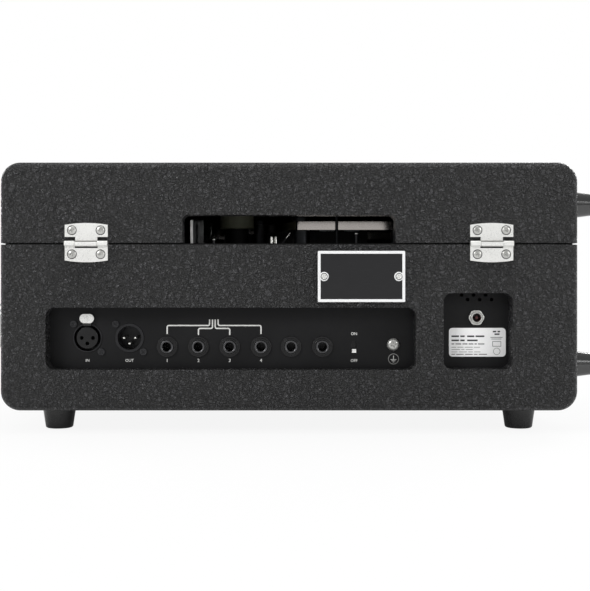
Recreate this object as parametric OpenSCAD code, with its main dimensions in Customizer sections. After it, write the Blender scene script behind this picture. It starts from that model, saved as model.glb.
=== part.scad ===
// Tape echo unit: a vinyl-covered plywood case with a hinged lid over a tape deck.
// Millimetres, +Z up. The control panel faces -Y and the sockets face +Y.
// The origin is on the ground, below the middle of the case.

/* [Case] */
// Width of the case across its ends
case_w = 413.4; // [400:0.2:430]
// Depth of the case from front to back
case_d = 285; // [280:1:300]
// Height of the base half
base_h = 119.5; // [118:0.5:125]
// Height of the lid half
lid_h = 58.4; // [55:0.2:70]
// Thickness of the plywood walls
wall = 15; // [14:0.5:15.5]
// Thickness of the plywood floor and of the lid's top
board_t = 12; // [10:0.5:13]
// Radius of the case's outline seen from the front or back
corner_r = 14; // [10:1:16]
// Rounding of the case's front and back edges
edge_r = 5; // [3:0.5:6]
// Gap at the seam between lid and base
seam_gap = 1.2; // [0.8:0.1:2]
// Thickness of the rails that carry the deck
rail_t = 12; // [10:1:14]

/* [Feet] */
// Height of the rubber feet below the case
foot_h = 16.4; // [15:0.2:20]
// Radius of a bottom foot where it meets the case
foot_base_r = 12.6; // [11:0.1:14]
// Radius of a bottom foot at its tip
foot_tip_r = 10.2; // [8:0.1:10.5]
// Distance of a bottom foot from the end of the case
foot_from_end = 34.9; // [30:0.1:45]
// Distance of a bottom foot from the front or back of the case
foot_from_back = 38; // [30:1:50]
// Length of the rubber feet on the end of the case
side_foot_h = 19; // [16:0.5:22]
// Radius of a side foot where it meets the case
side_foot_base_r = 10.5; // [9:0.1:12]
// Radius of a side foot at its tip
side_foot_tip_r = 8; // [6.5:0.1:8.5]
// Height of the base's side feet above the underside of the case
side_foot_low_z = 31.5; // [26:0.5:40]
// Height of the lid's side feet above the seam
side_foot_high_z = 30; // [22:1:34]
// Distance of a side foot from the front or back of the case
side_foot_from_back = 32; // [28:1:40]

/* [Hinges] */
// Distance of each hinge from the middle of the case
hinge_x = 144.4; // [130:0.1:150]
// Width of a hinge leaf
leaf_w = 30.6; // [26:0.2:34]
// Thickness of a hinge leaf
leaf_t = 1.2; // [1:0.1:1.5]
// Height of the lid's leaf above the pin
leaf_up = 14.7; // [13:0.1:16]
// Height of the base's leaf below the pin
leaf_down = 13.3; // [12:0.1:15]
// Radius of the knuckles
knuckle_r = 2.05; // [1.9:0.05:2.2]
// Radius of the hinge pin
pin_r = 1.15; // [1:0.05:1.3]
// Width of the middle knuckle
knuckle_mid_w = 15.7; // [14:0.1:18]
// Radius of a hinge screw's head
hinge_screw_r = 3; // [2.6:0.1:3.2]
// Distance of a hinge screw from the middle of its leaf
hinge_screw_x = 10.2; // [9:0.1:11]

/* [Lid slot] */
// Width of the slot in the lid's rear wall
slot_w = 152; // [120:1:160]
// Height of the slot above the seam
slot_h = 20.5; // [16:0.5:24]
// Radius of the slot's upper corners
slot_r = 4; // [2:0.5:6]

/* [Badge] */
// Width of the badge plate
badge_w = 62.2; // [55:0.1:66]
// Height of the badge plate
badge_h = 36.4; // [32:0.1:38]
// Thickness of the badge plate
badge_t = 1.5; // [1:0.1:2]
// Width of the badge's raised border
badge_border = 2; // [1.5:0.1:3]
// Place of the badge from the middle, to the right from behind
badge_x = 51.6; // [40:0.1:70]
// Height of the badge's middle above the underside of the case
badge_z = 96.1; // [94:0.1:97]
// Radius of the badge's raised screw seats
badge_seat_r = 3.3; // [3:0.1:4]
// Distance of a badge screw from the badge's middle
badge_screw_x = 26.6; // [22:0.1:27]

/* [Connector panel] */
// Place of the recess's left edge, to the right from behind
recess_left = -173.65; // [-175:0.05:-172]
// Distance of the recess's right edge from the ground terminal
recess_end_gap = 14.75; // [13:0.05:16]
// Height of the connector recess
recess_h = 44.3; // [42:0.1:45]
// Corner radius of both recesses
recess_r = 6; // [4:0.5:8]
// Height of the recess's middle above the underside of the case
recess_z = 51.7; // [50.5:0.1:52.5]
// Thickness of the connector panel
panel_t = 1.5; // [1.2:0.1:2]
// Overlap of a panel behind its opening
panel_lap = 8; // [6:0.5:9]
// Pitch of the six jacks
jack_pitch = 22.75; // [22:0.05:23]
// Place of the first jack, to the right from behind
jack_x = -88.6; // [-90:0.1:-88]
// Shift of the last two jacks towards the others
pair_shift = 0.9; // [0:0.1:1.5]
// Height of the jacks above the underside of the case
jack_z = 45.2; // [44:0.1:46]
// Bore of a jack
jack_bore_r = 3.25; // [3.2:0.01:3.3]
// Radius of the round nut on a jack
nut_r = 7.5; // [7:0.1:8]
// Depth of a jack's bore
jack_bore_len = 30; // [26:1:32]
// Place of the audio inlet, to the right from behind
inlet_x = -146.5; // [-148:0.1:-146]
// Place of the audio outlet, to the right from behind
outlet_x = -116; // [-117:0.1:-115]
// Height of the inlet and the outlet above the underside of the case
xlr_z = 51.6; // [50.5:0.1:52]
// Offset of the connector screws from the connector's middle
xlr_screw = 10.1; // [9.8:0.1:10.5]
// Radius of the connectors' barrels
xlr_barrel_r = 10.5; // [10.5:0.1:11]
// Distance of the slide switch from the last jack
slide_gap = 23.05; // [20:0.05:25]
// Height of the slide switch above the underside of the case
slide_z = 44.6; // [43:0.1:47]
// Travel of the slide switch
slide_travel = 5; // [4:0.1:5.5]
// Distance of the ground terminal from the slide switch
ground_gap = 28.4; // [26:0.1:30]
// Height of the ground terminal above the underside of the case
ground_z = 46.8; // [45:0.1:47]

/* [Power window] */
// Width of the power window
power_w = 49.2; // [48:0.1:51]
// Height of the power window
power_h = 54.4; // [53:0.1:55]
// Distance of the power window's middle from the recess's right edge
power_gap = 44.45; // [43:0.05:46]
// Height of the power window's middle above the underside of the case
power_z = 57.05; // [56.5:0.05:58]
// Radius of a vent hole
vent_r = 1.25; // [1:0.05:1.8]
// Pitch of the vent holes
vent_pitch = 8.7; // [8:0.1:9.5]
// Place of the DC jack from the window's middle
dc_x = 1.05; // [0:0.05:3]
// Height of the DC jack above the window's middle
dc_z = 9.35; // [7:0.05:10]
// Width of the label
label_w = 41.3; // [38:0.1:43]
// Place of the label's middle from the window's middle
label_x = 2; // [0:0.1:3]
// Height of the label
label_h = 20.9; // [19:0.1:23]
// Height of the label's middle below the window's middle
label_drop = 8.65; // [8:0.05:11]

/* [Control panel] */
// Width of the opening in the front wall
front_w = 350; // [340:1:356]
// Height of the opening in the front wall
front_h = 84; // [82:1:86]
// Height of the opening's middle above the underside of the case
front_z = 67.5; // [66:0.5:68]
// Thickness of the control panel
control_t = 2; // [1.5:0.1:2.5]
// Radius of the small knobs
knob_r = 9.5; // [8:0.5:10]
// Radius of the mode selector's knob
selector_r = 19; // [16:0.5:20]
// Length of the knobs
knob_len = 18; // [15:0.5:18]
// Radius of the knobs' shafts
shaft_r = 3; // [2.5:0.1:3.2]
// Width of the level meter
meter_w = 60; // [54:1:62]
// Height of the level meter
meter_h = 44; // [40:1:46]

/* [Tape deck] */
// Thickness of the deck plate
deck_t = 2.5; // [2:0.1:3]
// Distance of the deck's top below the seam
deck_drop = 2; // [1.5:0.1:4]
// Width of the tape
tape_w = 6.35; // [6:0.05:6.4]
// Height of the tape's middle above the deck
tape_z = 17.5; // [14:0.5:18]
// Thickness drawn for the tape
tape_t = 0.3; // [0.2:0.05:0.4]
// Radius of the guide posts
post_r = 4.6; // [4:0.1:5]
// Radius of the capstan shaft
capstan_r = 3; // [2.5:0.1:3.5]
// Radius of the flywheel
flywheel_r = 30; // [26:1:32]
// Radius of the motor pulley
pulley_r = 6; // [5:0.5:8]
// Radius of the pinch roller
roller_r = 9; // [8:0.5:10]
// Swing of the pinch arm
pinch_swing = 9; // [6:0.5:10]
// Height of the clear tape bin
bin_h = 24; // [22:1:26]
// Thickness of the clear tape bin's walls
bin_t = 3; // [2:0.5:4]

/* [Handle] */
// Distance of the handle's end caps from the front or back of the case
cap_from_back = 42.5; // [35:0.5:50]
// Width of the handle strap
strap_w = 26; // [22:1:30]
// Thickness of the handle strap
strap_t = 7; // [5:0.5:8]

/* [Hidden] */
$fn = 48;
big = 1000;
clear = 0.3;
run = 0.05;
// How much a pilot hole is wider and deeper than its screw
pilot = 0.06;

// Connector row: each piece follows the one before it
last_jack_x = jack_x + 5 * jack_pitch - pair_shift;
slide_x = last_jack_x + slide_gap;
ground_x = slide_x + ground_gap;
recess_right = ground_x + recess_end_gap;
recess_w = recess_right - recess_left;
recess_x = (recess_left + recess_right) / 2;
power_x = recess_right + power_gap;

// Heights above the ground
case_z = foot_h;
floor_z = case_z + board_t;
seam_z = case_z + base_h;
top_z = seam_z + lid_h;
deck_z = seam_z - deck_drop;
rail_top_z = deck_z - deck_t;
rail_h = 12;
tape_mid_z = deck_z + tape_z;

// Inside of the case
in_w = case_w - 2 * wall;
in_d = case_d - 2 * wall;

// Hinge pin's line, proud of the back
hinge_y = case_d / 2 + knuckle_r;
knuckle_side_w = (leaf_w - knuckle_mid_w) / 2 - clear;
side_knuckle_x = (leaf_w - knuckle_side_w) / 2;
hinge_screw_up = 9.5;
hinge_screw_down = 7.6;

// Side feet
side_foot_y = case_d / 2 - side_foot_from_back;

// Jacks on the control panel
input_jacks = [-152, -124, -96];
input_jack_z = case_z + 41.5;

// Small controls: place across the panel and height
upper_row_z = case_z + 87.5;
lower_row_z = case_z + 47.5;
column_1 = 62;
column_2 = 110;
column_3 = 156;
input_volume_x = -80;
selector_x = -10;
selector_z = case_z + 67.5;
small_knobs = [
    [input_volume_x, upper_row_z], [column_1, upper_row_z], [column_2, upper_row_z],
    [column_1, lower_row_z], [column_2, lower_row_z], [column_3, upper_row_z]
];
toggle_x = column_3;
toggle_z = lower_row_z;
meter_x = -138;
meter_z = case_z + 78.5;
pot_r = 8.5;
pot_depth = 10;
selector_pot_r = 14;
selector_pot_depth = 16;
bush_r = 4.5;

// Tape path: corners of the tape's run outside the bin
bin_x0 = 64.3;
bin_x1 = in_w / 2 - rail_t - 1.7;
bin_y = in_d / 2 - 27.5;
bend_r = post_r + tape_t / 2 + 0.2;
run_front_y = 67.5 - in_d / 2;
run_back_y = case_d / 2 - 45;
path_corners = [
    [bin_x0, run_front_y], [-125, run_front_y], [-150, run_front_y + 40],
    [-150, run_back_y - 27.5], [-110, run_back_y], [-6, run_back_y],
    [20, run_back_y - 57.5], [bin_x0, run_back_y - 77.5]
];

// Capstan, pinch arm and motor on the deck
capstan_x = -95;
capstan_y = run_front_y + tape_t / 2 + capstan_r + 0.02;
roller_gap = 0.3;
engaged = [capstan_x, run_front_y - tape_t / 2 - roller_gap - roller_r];
arm_pivot = [capstan_x + 35, run_front_y - 32];
arm_vector = engaged - arm_pivot;
arm_len = norm(arm_vector);
arm_angle = atan2(arm_vector[1], arm_vector[0]) + pinch_swing;
roller_rest = arm_pivot + arm_len * [cos(arm_angle), sin(arm_angle)];
motor_x = 41;
motor_y = run_back_y - 37.5;
motor_r = 20;
motor_len = 34;
motor_neck_r = 9;
motor_cap_r = 13.3;
// Heights of the motor cap's underside and top above the deck
motor_cap_z = 17;
motor_cap_top = 32;
wheel_h = 10;
wheel_z = deck_z - deck_t - motor_len - wheel_h - 4;

// A flat shape stood up and pushed into the face from depth y by t
module slab(y, t) {
    translate([0, y + t, 0]) rotate([90, 0, 0]) linear_extrude(t) children();
}

// A round peg that runs into the face from depth y
module peg(x, z, y, len, r) {
    translate([x, y, z]) rotate([-90, 0, 0]) cylinder(r = r, h = len);
}

// Faces: x to the right as seen, y into the case, z up
module front_face() {
    translate([0, -case_d / 2, 0]) children();
}

module rear_face() {
    rotate([0, 0, 180]) front_face() children();
}

module round_rect(w, h, r) {
    square([w - 2 * r, h], center = true);
    square([w, h - 2 * r], center = true);
    for (x = [-1, 1], y = [-1, 1])
        translate([x * (w / 2 - r), y * (h / 2 - r)]) circle(r);
}

module hexagon(flats) {
    circle(r = flats / sqrt(3), $fn = 6);
}

// Screw head with a cross recess, seated at depth 0 and proud along -Y
module cross_head(r, h) {
    difference() {
        peg(0, 0, -h, h, r);
        for (a = [45, 135])
            translate([0, -h, 0]) rotate([0, a, 0]) cube([r * 1.1, h, r * 0.24], center = true);
    }
}

// Screw: a cross head and its shank into the face
module screw(x, z, y, head_r, head_h, shank_r, shank_len) {
    translate([x, y, z]) cross_head(head_r, head_h);
    shank(x, z, y, shank_r, shank_len, 0);
}

module shank(x, z, y, r, len, grow) {
    peg(x, z, y, len + grow, r + grow);
}

// Conical rubber foot that stands on z = 0 and points up to its seat at h
module foot(base_r, tip_r, h) {
    round = 1.8;
    rotate_extrude() {
        polygon([
            [0, 0], [tip_r - round, 0], [tip_r, round], [base_r - 0.6, h - 2.5],
            [base_r, h - 2], [base_r, h], [0, h]
        ]);
        intersection() {
            translate([tip_r - round, round]) circle(round);
            translate([0, 0]) square([tip_r, round]);
        }
    }
}

// Quarter-rounded profile of the case's end discs
module disc_profile() {
    translate([0, -case_d / 2]) square([corner_r - edge_r, case_d]);
    translate([0, -case_d / 2 + edge_r]) square([corner_r, case_d - 2 * edge_r]);
    for (s = [-1, 1]) translate([corner_r - edge_r, s * (case_d / 2 - edge_r)])
        intersection() {
            circle(edge_r);
            translate([edge_r - corner_r, -edge_r]) square([corner_r, 2 * edge_r]);
        }
}

// Whole outer block of base and lid together
module case_block() {
    h = base_h + lid_h;
    translate([0, 0, case_z + h / 2]) {
        for (x = [-1, 1], z = [-1, 1])
            translate([x * (case_w / 2 - corner_r), 0, z * (h / 2 - corner_r)])
                rotate([90, 0, 0]) rotate_extrude() disc_profile();
        rotate([90, 0, 90]) translate([0, 0, corner_r - case_w / 2])
            linear_extrude(case_w - 2 * corner_r) round_rect(case_d, h, edge_r);
        translate([0, 0, corner_r - h / 2])
            linear_extrude(h - 2 * corner_r) round_rect(case_w, case_d, edge_r);
    }
}

module room(w, d, z0, z1) {
    translate([-w / 2, -d / 2, z0]) cube([w, d, z1 - z0]);
}

// Openings cut through a wall, in a face's own frame
module rear_openings() {
    translate([recess_x, 0, case_z + recess_z])
        slab(-1, wall + 2) round_rect(recess_w, recess_h, recess_r);
    translate([power_x, 0, case_z + power_z])
        slab(-1, wall + 2) round_rect(power_w, power_h, recess_r);
}

// ---- Case ----

module base_case() {
    color("#2b2b2c") difference() {
        intersection() {
            case_block();
            room(big, big, case_z, seam_z - seam_gap / 2);
        }
        room(in_w, in_d, floor_z, rail_top_z - rail_h);
        room(in_w - 2 * rail_t, in_d, floor_z, seam_z + 1);
        room(in_w, in_d, rail_top_z, seam_z + 1);
        rear_face() rear_openings();
        front_face() translate([0, 0, case_z + front_z])
            slab(-1, wall + 2) round_rect(front_w, front_h, recess_r);
        foot_screw_shanks(pilot);
        handle_screw_shanks(pilot);
        hinge_screw_shanks(-hinge_screw_down, pilot);
        badge_screw_shanks(pilot);
        deck_screw_shanks(pilot);
    }
}

module lid_case() {
    color("#2b2b2c") difference() {
        intersection() {
            case_block();
            room(big, big, seam_z + seam_gap / 2, top_z);
        }
        room(in_w, in_d, seam_z - 1, top_z - board_t);
        rear_face() lid_slot();
        hinge_screw_shanks(hinge_screw_up, pilot);
    }
}

// Slot at the seam of the lid's rear wall, for leads stored in the lid
module lid_slot() {
    translate([0, 0, seam_z]) slab(-1, wall + 2) {
        translate([-slot_w / 2, -1]) square([slot_w, slot_h - slot_r + 1]);
        translate([slot_r - slot_w / 2, 0]) square([slot_w - 2 * slot_r, slot_h]);
        for (s = [-1, 1]) translate([s * (slot_w / 2 - slot_r), slot_h - slot_r]) circle(slot_r);
    }
}

// ---- Feet, handle and their screws ----

foot_hole_r = 2.2;
foot_sink = 8;
foot_screw_r = 4;

module bottom_foot_places() {
    for (x = [-1, 1], y = [-1, 1])
        translate([x * (case_w / 2 - foot_from_end), y * (case_d / 2 - foot_from_back), 0])
            children();
}

module bottom_feet() {
    color("#1b1b1c") bottom_foot_places() difference() {
        foot(foot_base_r, foot_tip_r, foot_h);
        translate([0, 0, -1]) cylinder(r = foot_screw_r + 0.5, h = foot_sink + 1);
        cylinder(r = foot_hole_r, h = foot_h + 1);
    }
}

module side_foot(y, z) {
    translate([-case_w / 2 - side_foot_h, y, z]) rotate([0, 90, 0])
        foot(side_foot_base_r, side_foot_tip_r, side_foot_h);
}

module side_feet_base() {
    color("#1b1b1c") for (s = [-1, 1]) side_foot(s * side_foot_y, case_z + side_foot_low_z);
}

module side_feet_lid() {
    color("#1b1b1c") for (s = [-1, 1]) side_foot(s * side_foot_y, seam_z + side_foot_high_z);
}

handle_z = case_z + base_h / 2;
cap_y = case_d / 2 - cap_from_back;
cap_len = 44;
cap_w = 32;
cap_t = 13;
cap_screw_y = 14;

module handle_caps() {
    color("#b9bbbd") for (s = [-1, 1])
        translate([case_w / 2, s * cap_y, handle_z]) rotate([90, 0, 90]) difference() {
            linear_extrude(cap_t) round_rect(cap_len, cap_w, 9);
            translate([-s * cap_len / 2 + (s - 1) * 13, -strap_w / 2 - clear, -1])
                cube([26, strap_w + 2 * clear, cap_t - 2 + 1]);
            translate([s * cap_screw_y, 0, -1]) cylinder(r = 2.5, h = cap_t + 2);
        }
}

// Arched strap whose two ends lie under the caps
module handle_strap() {
    rise = side_foot_h - strap_t;
    half = cap_y - 1;
    flat = 14;
    arch = half - flat;
    arch_r = (arch * arch + rise * rise) / (2 * rise);
    color("#232324") translate([case_w / 2, 0, handle_z - strap_w / 2])
        linear_extrude(strap_w) {
            intersection() {
                translate([rise - arch_r + strap_t, 0]) difference() {
                    circle(arch_r, $fn = 128);
                    circle(arch_r - strap_t, $fn = 128);
                }
                translate([0, -arch]) square([rise + strap_t, 2 * arch]);
            }
            for (s = [-1, 1]) translate([clear, s * (arch + flat / 2) - flat / 2 - 1])
                square([strap_t - clear, flat + 2]);
        }
}

module foot_screw_places() {
    bottom_foot_places() translate([0, 0, foot_sink]) rotate([90, 0, 0]) children();
}

module foot_screw_shanks(grow) {
    foot_screw_places() shank(0, 0, 0, 2, foot_h - foot_sink + board_t - 2, grow);
}

module handle_screw_places() {
    for (s = [-1, 1]) translate([case_w / 2 + cap_t, s * (cap_y + cap_screw_y), handle_z])
        rotate([0, 0, 90]) children();
}

module handle_screw_shanks(grow) {
    handle_screw_places() shank(0, 0, 0, 2.2, cap_t + wall - 3, grow);
}

module case_screws() {
    color("#c9cbcc") {
        foot_screw_places() cross_head(foot_screw_r, 2.6);
        foot_screw_shanks(0);
        handle_screw_places() cross_head(4, 2.6);
        handle_screw_shanks(0);
    }
}

// ---- Hinges ----

module hinge_places() {
    for (s = [-1, 1]) translate([s * hinge_x, hinge_y, seam_z]) rotate([0, 0, 180]) children();
}

// Gap above the outer knuckles and below the middle one
leaf_gap_up = 2.7;
leaf_gap_down = 1.1;

// Outline of a leaf that reaches out from the pin, with a slightly arched edge
module leaf_outline(reach) {
    intersection() {
        translate([-leaf_w / 2, 0]) square([leaf_w, reach]);
        translate([0, reach - 90]) circle(90, $fn = 180);
    }
}

module lid_leaf_shape() {
    intersection() {
        leaf_outline(leaf_up);
        union() {
            translate([-leaf_w / 2, knuckle_r + leaf_gap_up]) square([leaf_w, leaf_up]);
            translate([-knuckle_mid_w / 2, 0]) square([knuckle_mid_w, leaf_up]);
        }
    }
}

module base_leaf_shape() {
    intersection() {
        leaf_outline(leaf_down);
        union() {
            translate([-leaf_w / 2, knuckle_r + leaf_gap_down]) square([leaf_w, leaf_down]);
            for (s = [-1, 1]) translate([s * side_knuckle_x - knuckle_side_w / 2, 0])
                square([knuckle_side_w, leaf_down]);
        }
    }
}

module knuckle(x0, w) {
    translate([x0, 0, 0]) rotate([0, 90, 0]) cylinder(r = knuckle_r, h = w);
}

module pin_bore(r) {
    translate([-leaf_w, 0, 0]) rotate([0, 90, 0]) cylinder(r = r, h = 2 * leaf_w);
}

module leaf_screw_holes(z) {
    for (s = [-1, 1]) peg(s * hinge_screw_x, z, 0, knuckle_r + 1, 1.6);
}

module hinge_lid_leaves() {
    color("#e8eaec") hinge_places() difference() {
        union() {
            slab(knuckle_r - leaf_t, leaf_t) lid_leaf_shape();
            knuckle(-knuckle_mid_w / 2, knuckle_mid_w);
        }
        pin_bore(pin_r + run);
        leaf_screw_holes(hinge_screw_up);
    }
}

module hinge_base_leaves() {
    color("#e8eaec") hinge_places() difference() {
        union() {
            mirror([0, 0, 1]) slab(knuckle_r - leaf_t, leaf_t) base_leaf_shape();
            for (s = [-1, 1]) knuckle(s * side_knuckle_x - knuckle_side_w / 2, knuckle_side_w);
        }
        pin_bore(pin_r + 0.02);
        leaf_screw_holes(-hinge_screw_down);
    }
}

module hinge_pins() {
    color("#d8dadc") hinge_places() translate([-leaf_w / 2, 0, 0]) rotate([0, 90, 0])
        cylinder(r = pin_r, h = leaf_w);
}

module hinge_screw_shanks(z, grow) {
    hinge_places() for (s = [-1, 1])
        shank(s * hinge_screw_x, z, knuckle_r - leaf_t, 1.5, leaf_t + wall - 3, grow);
}

module hinge_screws(z) {
    color("#dcdee0") {
        hinge_places() for (s = [-1, 1])
            translate([s * hinge_screw_x, knuckle_r - leaf_t, z]) cross_head(hinge_screw_r, 1);
        hinge_screw_shanks(z, 0);
    }
}

module hinge_base_screws() {
    hinge_screws(-hinge_screw_down);
}

module hinge_lid_screws() {
    hinge_screws(hinge_screw_up);
}

// ---- Badge ----

badge_corner_r = 0.8;

module badge_plate() {
    color("#38383a") rear_face() translate([badge_x, 0, case_z + badge_z]) difference() {
        union() {
            slab(-badge_t * 0.6, badge_t * 0.6) round_rect(badge_w, badge_h, badge_corner_r);
            slab(-badge_t, badge_t) difference() {
                round_rect(badge_w, badge_h, badge_corner_r);
                square([badge_w - 2 * badge_border, badge_h - 2 * badge_border], center = true);
            }
            for (s = [-1, 1]) peg(s * badge_screw_x, 0, -badge_t, badge_t, badge_seat_r);
        }
        for (s = [-1, 1]) peg(s * badge_screw_x, 0, -2 * badge_t, 3 * badge_t, 1.7);
    }
}

// ---- Connector panel ----

panel_y = wall;
xlr_flange_t = 2.4;
xlr_depth = 26;
xlr_screw_head_r = 2.6;
xlr_lip = 0.6;

module xlr_places() {
    for (x = [inlet_x, outlet_x]) translate([x, 0, case_z + xlr_z]) children();
}

// Two connector screws: upper left and lower right
module xlr_screw_places() {
    for (s = [-1, 1]) translate([s * xlr_screw, 0, -s * xlr_screw]) children();
}

module rear_panel() {
    color("#2d2d2e") rear_face() difference() {
        translate([recess_x, 0, case_z + recess_z]) slab(panel_y, panel_t)
            round_rect(recess_w + 2 * panel_lap, recess_h + 2 * panel_lap, 2);
        xlr_places() {
            peg(0, 0, panel_y - 1, panel_t + 2, xlr_barrel_r + 0.1);
            xlr_screw_places() peg(0, 0, panel_y - 1, panel_t + 2, 1.7);
        }
        translate([inlet_x, 0, case_z + xlr_z]) latch_slot();
        rear_jacks() peg(0, 0, panel_y - 1, panel_t + 2, 5);
        translate([slide_x, 0, case_z + slide_z]) slab(panel_y - 1, panel_t + 2)
            rotate(90) oval(slide_h + slide_travel + 2, slide_w + 1.4);
        peg(ground_x, case_z + ground_z, panel_y - 1, panel_t + 2, 2.1);
    }
}

// Flange behind the panel, with a round barrel that fills the panel's hole
module xlr_flange() {
    slab(panel_y + panel_t, xlr_flange_t) round_rect(26, 29, 3);
    peg(0, 0, panel_y - xlr_lip, xlr_depth, xlr_barrel_r);
}

module xlr_flange_holes() {
    xlr_screw_places() peg(0, 0, panel_y, panel_t + xlr_flange_t + 1, 1.6);
}

module xlr_in_housing() {
    color("#2b2b2d") rear_face() translate([inlet_x, 0, case_z + xlr_z]) difference() {
        xlr_flange();
        peg(0, 0, panel_y - 3, 17, xlr_groove_r);
        peg(0, 0, 0, big, 5);
        latch_slot();
        xlr_flange_holes();
    }
}

xlr_pin_r = 4.1;
xlr_groove_r = 9.7;
// The latch's tab stands above the barrel, on a neck that runs in the barrel's top
latch_z = 14.2;
latch_neck_z = 10.6;
latch_neck_w = 6;
latch_neck_h = 3.2;
latch_travel = 1.5;

module xlr_in_insert() {
    color("#141415") rear_face() translate([inlet_x, 0, case_z + xlr_z]) difference() {
        union() {
            peg(0, 0, panel_y - 1, 15, 7.75);
            peg(0, 0, panel_y + 14, xlr_depth - 13.6, 4.9);
        }
        for (a = [0, 180, 270])
            peg(xlr_pin_r * cos(a), xlr_pin_r * sin(a), panel_y - 2, 13, 1.35);
    }
}

// Slot through the panel and the barrel for the tab's neck
module latch_slot() {
    translate([0, 0, latch_neck_z]) slab(panel_y - 3, 12)
        square([latch_neck_w + 2 * clear, latch_neck_h + 2 * clear], center = true);
}

// Press tab that frees the plug
module xlr_latch() {
    tab_y = panel_y - xlr_lip - latch_travel - 1.6;
    color("#e4e5e6") rear_face() translate([inlet_x, 0, case_z + xlr_z]) {
        translate([0, 0, latch_z]) slab(tab_y, 1.2) oval(10.4, 6.6);
        translate([0, 0, latch_neck_z]) slab(tab_y + 1.1, 7.9)
            square([latch_neck_w, latch_neck_h], center = true);
    }
}

module oval(w, h) {
    square([w - h, h], center = true);
    for (s = [-1, 1]) translate([s * (w - h) / 2, 0]) circle(h / 2);
}

xlr_cup_r = 8.6;

module xlr_out_housing() {
    color("#5c5d60") rear_face() translate([outlet_x, 0, case_z + xlr_z]) difference() {
        xlr_flange();
        peg(0, 0, panel_y - 4, 20, xlr_cup_r);
        for (a = [0, 180, 270])
            peg(xlr_pin_r * cos(a), xlr_pin_r * sin(a), 0, big, 1.25);
        xlr_flange_holes();
    }
}

module xlr_out_pins() {
    color("#d9c48a") rear_face() translate([outlet_x, 0, case_z + xlr_z])
        for (a = [0, 180, 270]) translate([xlr_pin_r * cos(a), 0, xlr_pin_r * sin(a)]) {
            peg(0, 0, panel_y + 0.7, xlr_depth + 2.3, 1.2);
            translate([0, panel_y, 0]) rotate([-90, 0, 0]) cylinder(r1 = 0.6, r2 = 1.2, h = 0.7);
        }
}

module rear_screws() {
    color("#b4b6b8") rear_face() {
        xlr_places() xlr_screw_places()
            screw(0, 0, panel_y, xlr_screw_head_r, 1.2, 1.5, 7);
        for (s = [-1, 1])
            translate([badge_x + s * badge_screw_x, -badge_t, case_z + badge_z]) cross_head(2.4, 1.1);
    }
    color("#b4b6b8") badge_screw_shanks(0);
}

module badge_screw_shanks(grow) {
    rear_face() for (s = [-1, 1])
        shank(badge_x + s * badge_screw_x, case_z + badge_z, -badge_t, 1.5, 12, grow);
}

// Length of a jack's bush in front of its panel
bush_out = 3.4;

// One jack: moulded body behind the panel at depth y, with a threaded bush through it
module jack_body(x, z, y, t) {
    difference() {
        union() {
            translate([x - 7.5, y + t, z - 7.5]) cube([15, jack_bore_len - 2, 15]);
            peg(x, z, y - bush_out, bush_out + t + 1, 4.75);
        }
        peg(x, z, y - bush_out - 1, jack_bore_len + 1, jack_bore_r);
    }
}

module rear_jacks() {
    for (i = [0:5]) translate([jack_x + i * jack_pitch - (i > 3 ? pair_shift : 0), 0, case_z + jack_z])
        children();
}

module jack_bodies() {
    color("#18181a") {
        rear_face() rear_jacks() jack_body(0, 0, panel_y, panel_t);
        front_face() for (x = input_jacks) jack_body(x, input_jack_z, wall, control_t);
    }
}

// Round moulded nut on a jack's bush, stepped down to its face
module jack_nut(y) {
    slab(y - 1.2, 1.2) difference() {
        circle(nut_r);
        circle(4.9);
    }
    slab(y - 2.6, 1.4) difference() {
        circle(nut_r - 1.4);
        circle(4.9);
    }
}

module jack_nuts() {
    color("#1d1d1f") {
        rear_face() rear_jacks() jack_nut(panel_y);
        front_face() for (x = input_jacks) translate([x, 0, input_jack_z]) jack_nut(wall);
    }
}

slide_w = 3;
slide_h = 2.6;
slide_body_w = 8.5;
slide_body_h = 22;

module slide_switch_body() {
    color("#3a3a3c") rear_face() translate([slide_x, 0, case_z + slide_z]) difference() {
        slab(panel_y + panel_t, 9) square([slide_body_w, slide_body_h], center = true);
        slab(panel_y + panel_t - 1, 5)
            square([slide_w + 2 * clear, slide_h + slide_travel + 2 * clear], center = true);
    }
}

module slide_switch_knob() {
    color("#e2e2de") rear_face() translate([slide_x, 0, case_z + slide_z - slide_travel / 2])
        difference() {
            slab(panel_y - 1, panel_t + 4.6) square([slide_w, slide_h], center = true);
            translate([0, panel_y - 1, 0]) cube([slide_w + 1, 1, 0.7], center = true);
        }
}

module ground_terminal() {
    color("#cfd1d3") rear_face() translate([ground_x, 0, case_z + ground_z]) {
        translate([0, panel_y - 1, 0]) cross_head(4.3, 2.4);
        slab(panel_y - 1, 1) difference() {
            circle(4.5);
            circle(2.1);
        }
        peg(0, 0, panel_y - 1, 12, 2);
    }
}

// ---- Power window ----

module power_plate() {
    color("#2d2d2e") rear_face() translate([power_x, 0, case_z + power_z]) difference() {
        slab(panel_y, panel_t) round_rect(power_w + 2 * panel_lap, power_h + 2 * panel_lap, 2);
        for (i = [-1:1]) {
            peg(i * vent_pitch - 0.65, 25.75, panel_y - 1, panel_t + 2, vent_r);
            peg(i * vent_pitch + 3.8, 22.45, panel_y - 1, panel_t + 2, vent_r);
        }
        peg(dc_x, dc_z, panel_y - 1, panel_t + 2, 4.1);
    }
}

module dc_jack() {
    color("#3f1c1c") rear_face() translate([power_x + dc_x, 0, case_z + power_z + dc_z]) {
        difference() {
            union() {
                peg(0, 0, panel_y - 3.6, 3.6 + panel_t + 1, 4);
                peg(0, 0, panel_y + panel_t, 12, 5.5);
            }
            peg(0, 0, panel_y - 5, 14, 3);
        }
        peg(0, 0, panel_y - 3, 13, 1.05);
    }
}

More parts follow.
